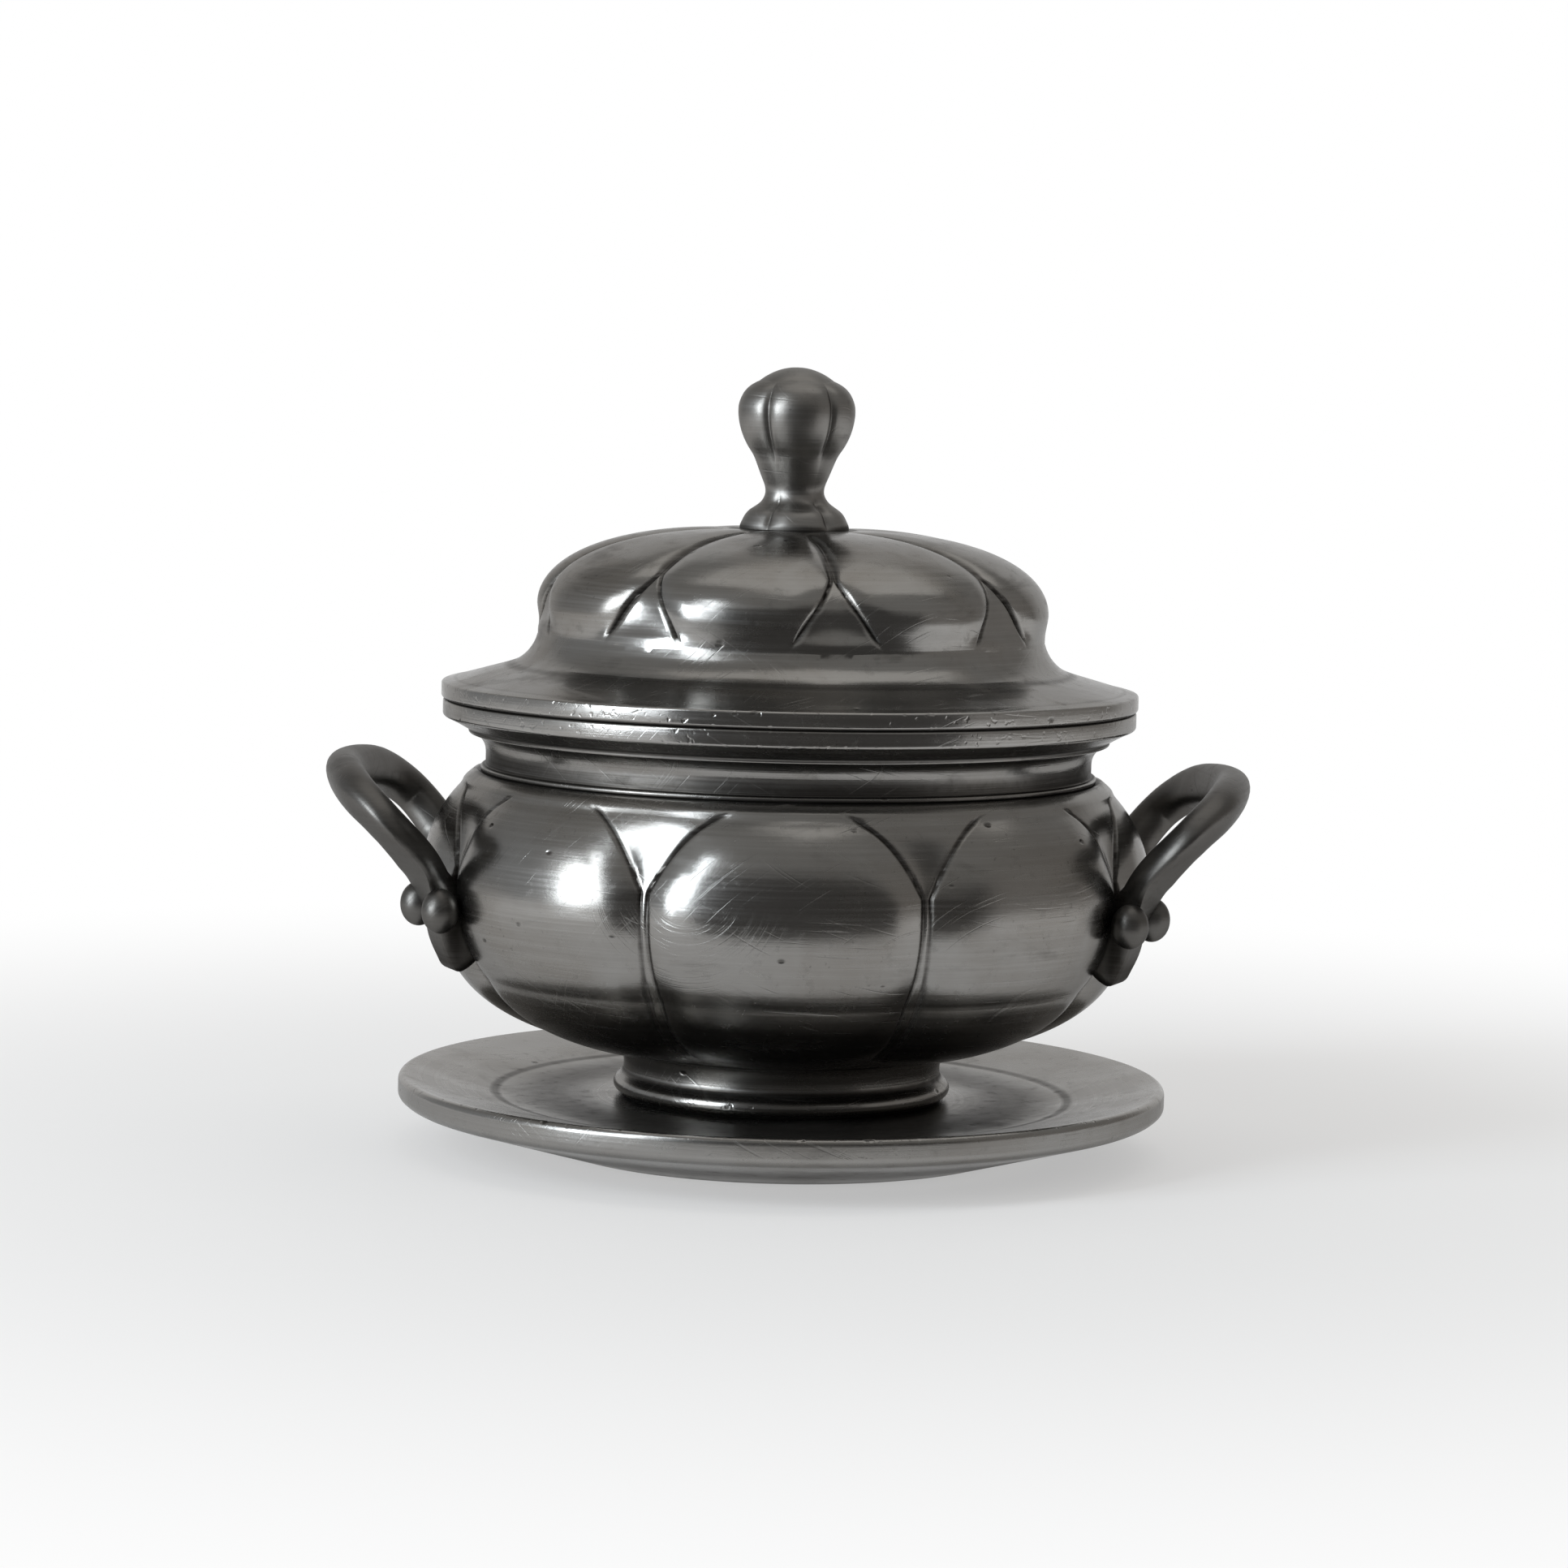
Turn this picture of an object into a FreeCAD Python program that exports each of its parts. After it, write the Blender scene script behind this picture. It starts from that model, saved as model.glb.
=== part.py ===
import FreeCAD, Part

import math
import os
from types import SimpleNamespace

import Sketcher

# Covered sugar bowl on a loose underplate, in cast and turned pewter.
# The frame is the plate's: origin at the centre of its base, +Z up, the handles along X.
# Every height is measured from the piece's own seat, and the seats stack up from the plate.

doc = FreeCAD.newDocument("sugar_bowl")

SIZES = {
    # underplate
    "plate_radius": 58.05,
    "plate_base_radius": 34.5,
    "plate_base_land": 3.0,
    "plate_floor_thickness": 2.2,
    "plate_floor_height": 7.6,
    "plate_floor_radius": 42.0,
    "plate_cove_width": 2.0,
    "plate_cove_rise": 0.4,
    "plate_under_inset": 1.15,
    "plate_under_height": 6.4,
    "plate_band_low": 7.4,
    "plate_band_high": 10.0,
    "plate_rim_bevel": 0.6,
    # foot ring
    "foot_height": 7.9,
    "foot_bore_radius": 21.0,
    "foot_land_radius": 23.8,
    "foot_bead_radius": 25.5,
    "foot_bead_height": 3.7,
    "foot_bead_bevel": 1.2,
    "foot_neck_radius": 24.1,
    "foot_top_radius": 25.0,
    "foot_cove_arc": 5.2,
    # bowl: a plain core with a ring of bulged lobes grown out of it
    "lobe_count": 8,
    "bowl_height": 41.1,
    "bowl_wall": 1.8,
    "hollow_straight": 10.0,
    "lobe_reach": 55.0,
    "lobe_offset": 15.0,
    "lobe_belly_arc": 19.84,
    "lobe_heel_radius": 32.14,
    "core_inset": 1.65,
    "core_belly_arc": 19.7,
    "core_heel_radius": 28.66,
    "lip_width": 2.7,
    # mouth, and the collar round it, each width measured out from the mouth
    "mouth_radius": 44.0,
    "collar_height": 10.85,
    "collar_ledge_width": 2.4,
    "collar_ledge_height": 0.8,
    "collar_neck_width": 1.65,
    "collar_neck_top": 2.9,
    "collar_cove_width": 3.6,
    "collar_cove_top": 5.7,
    "collar_cove_arc": 3.2,
    "collar_step_width": 4.3,
    "collar_step_height": 0.6,
    "collar_band_width": 8.2,
    "collar_band_height": 2.55,
    "rim_bevel": 0.35,
    # lid
    "lid_height": 26.15,
    "lid_wall": 1.8,
    "lid_turn": -12.5,
    "lid_overhang": 0.25,
    "lid_edge_height": 2.45,
    "lid_step_width": 1.85,
    "lid_step_rise": 0.4,
    "lid_slope_radius": 42.6,
    "lid_slope_top": 5.1,
    "lid_waist_height": 9.85,
    "lid_cove_arc": 6.5,
    "lid_lobe_offset": 11.0,
    "lid_lobe_reach": 38.8,
    "lid_lobe_tuck": 0.55,
    "lid_lobe_height": 14.15,
    "lid_lobe_shoulder": 7.0,
    "lid_core_inset": 0.25,
    "lid_drum_arc": 7.3,
    "lid_drum_shoulder": 5.8,
    "lid_crown_drop": 4.9,
    "lid_seat_margin": 0.55,
    "lid_opening_lap": 0.9,
    "lid_opening_depth": 2.2,
    # bezel that centres the lid in the mouth
    "bezel_clearance": 0.5,
    "bezel_wall": 1.2,
    "bezel_depth": 6.0,
    "bezel_bevel": 0.4,
    # knob
    "knob_lobe_count": 5,
    "knob_turn": 95.0,
    "knob_lobe_offset": 2.45,
    "knob_foot_radius": 8.35,
    "knob_foot_edge": 0.5,
    "knob_shoulder_radius": 7.3,
    "knob_shoulder_height": 2.5,
    "knob_instep_radius": 5.0,
    "knob_instep_height": 4.2,
    "knob_neck_radius": 4.2,
    "knob_neck_height": 5.7,
    "knob_flare_radius": 6.4,
    "knob_flare_height": 11.0,
    "knob_belly_radius": 8.93,
    "knob_belly_height": 17.7,
    "knob_belly_arc": 10.8,
    "knob_arch_radius": 5.2,
    "knob_arch_height": 22.2,
    "knob_arch_arc": 4.6,
    "knob_stem_inset": 0.3,
    "knob_stem_height": 8.0,
    "knob_cap_radius": 6.8,
    "knob_cap_foot": 15.5,
    "knob_cap_sphere": 8.4,
    "knob_height": 24.2,
    # hidden fixing of the knob
    "stud_radius": 2.0,
    "stud_bite": 9.0,
    "stud_clearance": 0.1,
    "stud_end_gap": 0.5,
    "stud_tail": 1.5,
    "washer_radius": 5.0,
    "washer_height": 1.0,
    "nut_flats": 7.0,
    "nut_height": 3.0,
    # handles: a D-section strap whose two feet stand on creases of the bowl
    "strap_width": 7.1,
    "strap_apex_width": 6.0,
    "strap_depth": 4.7,
    "strap_root_depth": 7.0,
    "strap_side_share": 0.4,
    "strap_back_share": 0.26,
    "strap_stand_off": 3.5,
    "strap_tail_height": 13.8,
    "strap_tail_round": 1.3,
    "strap_knee_rise": 4.0,
    "strap_ball_rise": 4.4,
    "strap_leave_rise": 4.3,
    "strap_leave_off": 2.8,
    "leg_out": 5.0,
    "leg_spread": 23.6,
    "leg_rise": 4.1,
    "corner_out": 9.6,
    "corner_spread": 24.6,
    "corner_rise": 4.9,
    "bend_out": 14.1,
    "bend_spread": 18.0,
    "bend_rise": 3.4,
    "apex_out": 17.1,
    "apex_rise": 1.3,
    "loop_lean": 42.0,
    "loop_turn_out": 28.0,
    "ball_radius": 2.5,
    "ball_half_height": 3.3,
    "ball_bury": 1.0,
    "ball_stand_off": 3.3,
}

sheet = doc.addObject("Spreadsheet::Sheet", "sizes")
for row, (name, value) in enumerate(SIZES.items(), start=1):
    sheet.set(f"A{row}", name)
    sheet.set(f"B{row}", str(value))
    sheet.setAlias(f"B{row}", name)
doc.recompute()


class Size:
    """A number together with the sheet expression that gives it."""

    def __init__(self, value, text):
        self.value = value
        self.text = text

    def __add__(self, other):
        other = as_size(other)
        return Size(self.value + other.value, f"({self.text} + {other.text})")

    def __sub__(self, other):
        other = as_size(other)
        return Size(self.value - other.value, f"({self.text} - {other.text})")

    def __mul__(self, other):
        other = as_size(other)
        return Size(self.value * other.value, f"({self.text} * {other.text})")

    def __truediv__(self, other):
        other = as_size(other)
        return Size(self.value / other.value, f"({self.text} / {other.text})")


def as_size(number):
    return number if isinstance(number, Size) else Size(number, f"{number}")


def root(size):
    return Size(math.sqrt(size.value), f"sqrt({size.text})")


mm = SimpleNamespace(**{name: Size(value, f"sizes.{name}") for name, value in SIZES.items()})

ZERO = as_size(0)

# The stack of seats, each piece standing on the one before.
foot_seat = mm.plate_floor_height
bowl_seat = foot_seat + mm.foot_height
collar_seat = bowl_seat + mm.bowl_height
lid_seat = collar_seat + mm.collar_height
knob_seat = lid_seat + mm.lid_height

# Radii that two pieces share.
lip_radius = mm.mouth_radius + mm.lip_width
bezel_radius = mm.mouth_radius - mm.bezel_clearance
bezel_bore = bezel_radius - mm.bezel_wall
stud_bore = mm.stud_radius + mm.stud_clearance


def origin(body, role):
    """The body's own plane or axis of that role."""
    return next(item for item in body.Origin.OriginFeatures if item.Role == role)


def new_body(name, seat=ZERO, turn=None):
    body = doc.addObject("PartDesign::Body", name)
    body.Label = name
    body.setExpression("Placement.Base.z", seat.text)
    if turn:
        body.setExpression("Placement.Rotation.Angle", turn.text)
    return body


def bind(sketch, kind, edge, end, size):
    """Hold one end of an edge at a size from the sketch's origin."""
    if size.text == ZERO.text:
        axis = {"DistanceX": -2, "DistanceY": -1}[kind]
        sketch.addConstraint(Sketcher.Constraint("PointOnObject", edge, end, axis))
        return
    index = sketch.addConstraint(Sketcher.Constraint(kind, -1, 1, edge, end, size.value))
    sketch.setExpression(f"Constraints[{index}]", size.text)


def arc_edge(start, stop, radius):
    """The shorter arc between two points. A positive radius bulges to the right of the way along."""
    way = stop - start
    side = FreeCAD.Vector(way.y, -way.x, 0).normalize()
    drop = math.sqrt(radius**2 - (way.Length / 2) ** 2)
    rise = math.copysign(abs(radius) - drop, radius)
    return Part.Arc(start, (start + stop) / 2 + side * rise, stop)


def draw(body, name, corners, axis_shift=None):
    """A closed outline in the body's XZ plane.

    Each corner is (radius, height), or (radius, height, arc) where the edge that leaves it is an arc.
    Counter-clockwise outlines bulge outwards with a positive arc and inwards with a negative one.
    """
    sketch = body.newObject("Sketcher::SketchObject", name)
    sketch.AttachmentSupport = [(origin(body, "XZ_Plane"), "")]
    sketch.MapMode = "FlatFace"
    if axis_shift:
        sketch.setExpression("AttachmentOffset.Base.x", axis_shift.text)
    points = [FreeCAD.Vector(corner[0].value, corner[1].value, 0) for corner in corners]
    ends = []
    for edge, corner in enumerate(corners):
        start = points[edge]
        stop = points[(edge + 1) % len(points)]
        curve = Part.LineSegment(start, stop)
        if len(corner) == 3:
            curve = arc_edge(start, stop, corner[2].value)
        sketch.addGeometry(curve, False)
        forward = (sketch.getPoint(edge, 1) - start).Length < (sketch.getPoint(edge, 1) - stop).Length
        ends.append((1, 2) if forward else (2, 1))
    for edge, corner in enumerate(corners):
        before = edge - 1 if edge else len(corners) - 1
        sketch.addConstraint(Sketcher.Constraint("Coincident", before, ends[before][1], edge, ends[edge][0]))
        bind(sketch, "DistanceX", edge, ends[edge][0], corner[0])
        bind(sketch, "DistanceY", edge, ends[edge][0], corner[1])
        if len(corner) == 3:
            index = sketch.addConstraint(Sketcher.Constraint("Radius", edge, abs(corner[2].value)))
            sign = "" if corner[2].value > 0 else "-"
            sketch.setExpression(f"Constraints[{index}]", sign + corner[2].text)
    return sketch


def turned(body, name, corners, kind="Revolution", axis_shift=None):
    """Spin an outline round its own upright axis, adding it to the body or cutting it away."""
    sketch = draw(body, f"{name}_outline", corners, axis_shift)
    feature = body.newObject(f"PartDesign::{kind}", name)
    feature.Profile = sketch
    feature.ReferenceAxis = (sketch, ["V_Axis"])
    feature.Angle = 360
    body.Tip = feature
    doc.recompute()
    return feature


def repeat_round(body, name, feature, count):
    pattern = body.newObject("PartDesign::PolarPattern", name)
    pattern.Originals = [feature]
    pattern.Axis = (origin(body, "Z_Axis"), [""])
    pattern.Angle = 360
    pattern.setExpression("Occurrences", count.text)
    body.Tip = pattern
    doc.recompute()
    return pattern


def checked_cut(body, before):
    """A groove that misses the solid takes nothing away and reports no error."""
    least_cut = 1.0
    if before - body.Shape.Volume < least_cut:
        raise RuntimeError(f"{body.Label}: the cut took nothing away")


# Underplate: a low cone with a bevelled thick edge, recessed inside its base ring.
plate = new_body("underplate")
plate_recess_radius = mm.plate_base_radius - mm.plate_base_land
plate_recess_height = mm.plate_floor_height - mm.plate_floor_thickness
plate_rim_radius = mm.plate_radius - mm.plate_rim_bevel
turned(plate, "plate", [
    (ZERO, plate_recess_height),
    (plate_recess_radius - mm.plate_base_land, plate_recess_height),
    (plate_recess_radius, ZERO),
    (mm.plate_base_radius, ZERO),
    (mm.plate_radius - mm.plate_under_inset, mm.plate_under_height),
    (mm.plate_radius, mm.plate_band_low),
    (mm.plate_radius, mm.plate_band_high),
    (plate_rim_radius, mm.plate_band_high + mm.plate_rim_bevel),
    (mm.plate_floor_radius + mm.plate_cove_width, mm.plate_floor_height + mm.plate_cove_rise),
    (mm.plate_floor_radius, mm.plate_floor_height),
    (ZERO, mm.plate_floor_height),
])

# Foot ring: a hollow ring with a bevelled bead at the bottom and a cove up to the bowl.
foot = new_body("foot_ring", foot_seat)
turned(foot, "foot", [
    (mm.foot_bore_radius, ZERO),
    (mm.foot_land_radius, ZERO),
    (mm.foot_bead_radius, mm.foot_bead_bevel),
    (mm.foot_bead_radius, mm.foot_bead_height - mm.foot_bead_bevel),
    (mm.foot_neck_radius, mm.foot_bead_height, mm.foot_cove_arc * -1),
    (mm.foot_top_radius, mm.foot_height),
    (mm.foot_bore_radius, mm.foot_height),
])


def belly_height(reach, arc):
    """Height of the widest point under a lip that the belly arc runs up to."""
    lip_run = lip_radius - reach + arc
    return mm.bowl_height - root(arc * arc - lip_run * lip_run)


def belly_outline(reach, arc, heel_radius, shift):
    """Belly arc above a straight flank tangent to it, about an axis moved in by the shift."""
    centre = reach - shift - arc
    height = belly_height(reach, arc)
    heel = heel_radius - shift
    across = centre - heel
    span = across * across + height * height
    flank = root(span - arc * arc)
    flank_radius = heel + flank * (flank * across + arc * height) / span
    flank_height = flank * (flank * height - arc * across) / span
    return [
        (ZERO, ZERO),
        (heel, ZERO),
        (flank_radius, flank_height, arc),
        (lip_radius - shift, mm.bowl_height),
        (ZERO, mm.bowl_height),
    ]


# Bowl: eight bulged lobes that meet in creases, hollowed in straight tapers as turned castings are.
bowl = new_body("bowl_body", bowl_seat)
core_reach = mm.lobe_reach - mm.core_inset
lobe_outline = belly_outline(mm.lobe_reach, mm.lobe_belly_arc, mm.lobe_heel_radius, mm.lobe_offset)
turned(bowl, "bowl_core", belly_outline(core_reach, mm.core_belly_arc, mm.core_heel_radius, ZERO))
first_lobe = turned(bowl, "bowl_lobe", lobe_outline, axis_shift=mm.lobe_offset * -1)
bowl_outside = repeat_round(bowl, "bowl_lobes", first_lobe, mm.lobe_count)
solid_volume = bowl.Shape.Volume
hollow_belly = core_reach - mm.bowl_wall
hollow_lip = lip_radius - mm.bowl_wall
hollow_height = belly_height(core_reach, mm.core_belly_arc)
turned(bowl, "bowl_hollow", [
    (ZERO, mm.bowl_wall),
    (mm.core_heel_radius - mm.bowl_wall, mm.bowl_wall),
    (hollow_belly, hollow_height - mm.hollow_straight / 2),
    (hollow_belly, hollow_height + mm.hollow_straight / 2),
    (hollow_lip, mm.bowl_height),
    (hollow_lip, mm.bowl_height + mm.bowl_wall),
    (ZERO, mm.bowl_height + mm.bowl_wall),
], "Groove")
checked_cut(bowl, solid_volume)

# Collar: ledge on the bowl's lip, neck, flared cove, step and plain band at the mouth.
collar = new_body("bowl_collar", collar_seat)
collar_step_top = mm.collar_cove_top + mm.collar_step_height
collar_band_foot = mm.collar_height - mm.collar_band_height
collar_ledge = mm.mouth_radius + mm.collar_ledge_width
collar_neck = mm.mouth_radius + mm.collar_neck_width
collar_step = mm.mouth_radius + mm.collar_step_width
collar_band = mm.mouth_radius + mm.collar_band_width
turned(collar, "collar", [
    (mm.mouth_radius, ZERO),
    (collar_ledge, ZERO),
    (collar_ledge, mm.collar_ledge_height),
    (collar_neck, mm.collar_ledge_height),
    (collar_neck, mm.collar_neck_top, mm.collar_cove_arc * -1),
    (mm.mouth_radius + mm.collar_cove_width, mm.collar_cove_top),
    (collar_step, mm.collar_cove_top),
    (collar_step, collar_step_top),
    (collar_band, collar_band_foot),
    (collar_band, mm.collar_height - mm.rim_bevel),
    (collar_band - mm.rim_bevel, mm.collar_height),
    (mm.mouth_radius + mm.rim_bevel, mm.collar_height),
    (mm.mouth_radius, mm.collar_height - mm.rim_bevel),
])

# Lid: a flange with a bevelled step, a cove up to the waist, and eight lobes over a plain drum.
lid = new_body("lid_dome", lid_seat, mm.lid_turn)
lid_edge = collar_band + mm.lid_overhang
lid_lobe_waist = mm.lid_lobe_reach - mm.lid_lobe_tuck
lid_drum = lid_lobe_waist - mm.lid_core_inset
lid_crown_radius = lid_drum - mm.lid_drum_shoulder
lid_crown_height = mm.lid_height - mm.lid_crown_drop
lid_seat_radius = mm.knob_foot_radius + mm.lid_seat_margin
turned(lid, "lid_core", [
    (ZERO, ZERO),
    (lid_edge - mm.rim_bevel, ZERO),
    (lid_edge, mm.rim_bevel),
    (lid_edge, mm.lid_edge_height),
    (lid_edge - mm.lid_step_width, mm.lid_edge_height + mm.lid_step_rise),
    (mm.lid_slope_radius, mm.lid_slope_top, mm.lid_cove_arc * -1),
    (lid_drum, mm.lid_waist_height),
    (lid_drum, mm.lid_lobe_height, mm.lid_drum_arc),
    (lid_crown_radius, lid_crown_height),
    (lid_seat_radius, mm.lid_height),
    (ZERO, mm.lid_height),
])


def oval_crown(reach, rise, shoulder):
    """Radius of the top arc of a four-centred oval quarter, and where it meets the shoulder arc."""
    inset = reach - shoulder
    arc = (inset * inset + rise * rise - shoulder * shoulder) / ((rise - shoulder) * 2)
    share = arc / (arc - shoulder)
    return arc, inset * share, arc * -1 + rise + (arc - rise) * share


lid_reach = mm.lid_lobe_reach - mm.lid_lobe_offset
lid_rise = mm.lid_height - mm.lid_lobe_height
crown_arc, crown_radius, crown_rise = oval_crown(lid_reach, lid_rise, mm.lid_lobe_shoulder)
first_lobe = turned(lid, "lid_lobe", [
    (ZERO, mm.lid_waist_height),
    (lid_lobe_waist - mm.lid_lobe_offset, mm.lid_waist_height),
    (lid_reach, mm.lid_lobe_height, mm.lid_lobe_shoulder),
    (crown_radius, mm.lid_lobe_height + crown_rise, crown_arc),
    (ZERO, mm.lid_height),
], axis_shift=mm.lid_lobe_offset * -1)
repeat_round(lid, "lid_lobes", first_lobe, mm.lobe_count)
solid_volume = lid.Shape.Volume
lid_inside = lid_drum - mm.lid_wall
lid_ceiling = mm.lid_height - mm.lid_wall
lid_opening = bezel_bore - mm.lid_opening_lap
turned(lid, "lid_hollow", [
    (ZERO, mm.lid_wall * -1),
    (lid_opening, mm.lid_wall * -1),
    (lid_opening, mm.lid_opening_depth),
    (lid_inside, mm.lid_waist_height - mm.lid_wall),
    (lid_inside, mm.lid_lobe_height),
    (lid_crown_radius - mm.lid_wall, lid_crown_height - mm.lid_wall),
    (lid_seat_radius, lid_ceiling),
    (stud_bore, lid_ceiling),
    (stud_bore, mm.lid_height + mm.lid_wall),
    (ZERO, mm.lid_height + mm.lid_wall),
], "Groove")
checked_cut(lid, solid_volume)

# Bezel: the plain ring under the flange that centres the lid in the mouth.
bezel = new_body("lid_bezel", lid_seat - mm.bezel_depth)
turned(bezel, "bezel", [
    (bezel_bore, ZERO),
    (bezel_radius - mm.bezel_bevel, ZERO),
    (bezel_radius, mm.bezel_bevel),
    (bezel_radius, mm.bezel_depth),
    (bezel_bore, mm.bezel_depth),
])

# Knob: five lobes that swell from a spread foot through a neck to a bulb under a smooth cap.
knob = new_body("knob", knob_seat, mm.knob_turn)
cap_drop = root(mm.knob_cap_sphere * mm.knob_cap_sphere - mm.knob_cap_radius * mm.knob_cap_radius)
knob_stem = mm.knob_neck_radius - mm.knob_stem_inset
turned(knob, "knob_core", [
    (ZERO, ZERO),
    (knob_stem, ZERO),
    (knob_stem, mm.knob_stem_height),
    (mm.knob_cap_radius, mm.knob_cap_foot),
    (mm.knob_cap_radius, mm.knob_height - mm.knob_cap_sphere + cap_drop, mm.knob_cap_sphere),
    (ZERO, mm.knob_height),
])
knob_outline = [
    (mm.knob_foot_radius, ZERO),
    (mm.knob_foot_radius, mm.knob_foot_edge),
    (mm.knob_shoulder_radius, mm.knob_shoulder_height),
    (mm.knob_instep_radius, mm.knob_instep_height),
    (mm.knob_neck_radius, mm.knob_neck_height),
    (mm.knob_flare_radius, mm.knob_flare_height, mm.knob_belly_arc),
    (mm.knob_belly_radius, mm.knob_belly_height, mm.knob_arch_arc),
    (mm.knob_arch_radius, mm.knob_arch_height),
]
first_lobe = turned(knob, "knob_lobe", [
    (ZERO, ZERO),
    *[(radius - mm.knob_lobe_offset, *rest) for radius, *rest in knob_outline],
    (ZERO, mm.knob_arch_height),
], axis_shift=mm.knob_lobe_offset * -1)
repeat_round(knob, "knob_lobes", first_lobe, mm.knob_lobe_count)
solid_volume = knob.Shape.Volume
turned(knob, "knob_bore", [
    (ZERO, mm.stud_end_gap * -1),
    (stud_bore, mm.stud_end_gap * -1),
    (stud_bore, mm.stud_bite),
    (ZERO, mm.stud_bite + mm.stud_end_gap),
], "Groove")
checked_cut(knob, solid_volume)

# Stud, washer and nut that hold the knob from inside the lid.
washer_seat = knob_seat - mm.lid_wall - mm.washer_height
nut_seat = washer_seat - mm.nut_height
stud_seat = nut_seat - mm.stud_tail
stud = doc.addObject("Part::Cylinder", "knob_stud")
stud.Label = "knob_stud"
stud.setExpression("Radius", mm.stud_radius.text)
stud.setExpression("Height", (knob_seat + mm.stud_bite - stud_seat).text)
stud.setExpression("Placement.Base.z", stud_seat.text)

washer = new_body("knob_washer", washer_seat)
turned(washer, "washer", [
    (stud_bore, ZERO),
    (mm.washer_radius, ZERO),
    (mm.washer_radius, mm.washer_height),
    (stud_bore, mm.washer_height),
])

nut_blank = doc.addObject("Part::Prism", "nut_blank")
nut_blank.Polygon = 6
nut_blank.setExpression("Circumradius", (mm.nut_flats / root(as_size(3))).text)
nut_blank.setExpression("Height", mm.nut_height.text)
nut_hole = doc.addObject("Part::Cylinder", "nut_hole")
nut_hole.setExpression("Radius", stud_bore.text)
nut_hole.setExpression("Height", mm.nut_height.text)
nut = doc.addObject("Part::Cut", "knob_nut")
nut.Label = "knob_nut"
nut.Base = nut_blank
nut.Tool = nut_hole
nut.setExpression("Placement.Base.z", nut_seat.text)
doc.recompute()


def read(name):
    return sheet.get(name)


def crease_radius(height):
    """Distance from the bowl's axis to the crease between two lobes."""
    heel = lobe_outline[1][0].value
    flank_radius, flank_height, arc = (size.value for size in lobe_outline[2])
    offset = read("lobe_offset")
    if height < flank_height:
        lobe = heel + (flank_radius - heel) * height / flank_height
    else:
        fall = height - belly_height(mm.lobe_reach, mm.lobe_belly_arc).value
        lobe = read("lobe_reach") - offset - arc + math.sqrt(arc**2 - fall**2)
    half = math.pi / read("lobe_count")
    return offset * math.cos(half) + math.sqrt(lobe**2 - (offset * math.sin(half)) ** 2)


def strap_section(centre, along, out, width, depth):
    """A flat outward face over a back that is bevelled round, as one closed wire."""
    out = (out - along * out.dot(along)).normalize()
    across = along.cross(out)
    face = centre + out * (read("strap_depth") / 2)
    side = read("strap_side_share")
    back = read("strap_back_share")
    outline = [(0.5, 0), (0.5, side), (back, 1), (-back, 1), (-0.5, side), (-0.5, 0)]
    corners = [face + across * (width * aside) - out * (depth * deep) for aside, deep in outline]
    return Part.makePolygon([*corners, corners[0]])


def ball_shape():
    """An upright bead: two half spheres on a short cylinder."""
    radius = read("ball_radius")
    shift = read("ball_half_height") - radius
    barrel = Part.makeCylinder(radius, 2 * shift, FreeCAD.Vector(0, 0, -shift))
    ends = [Part.makeSphere(radius, FreeCAD.Vector(0, 0, side * shift)) for side in (1, -1)]
    return barrel.fuse(ends).removeSplitter()


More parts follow.
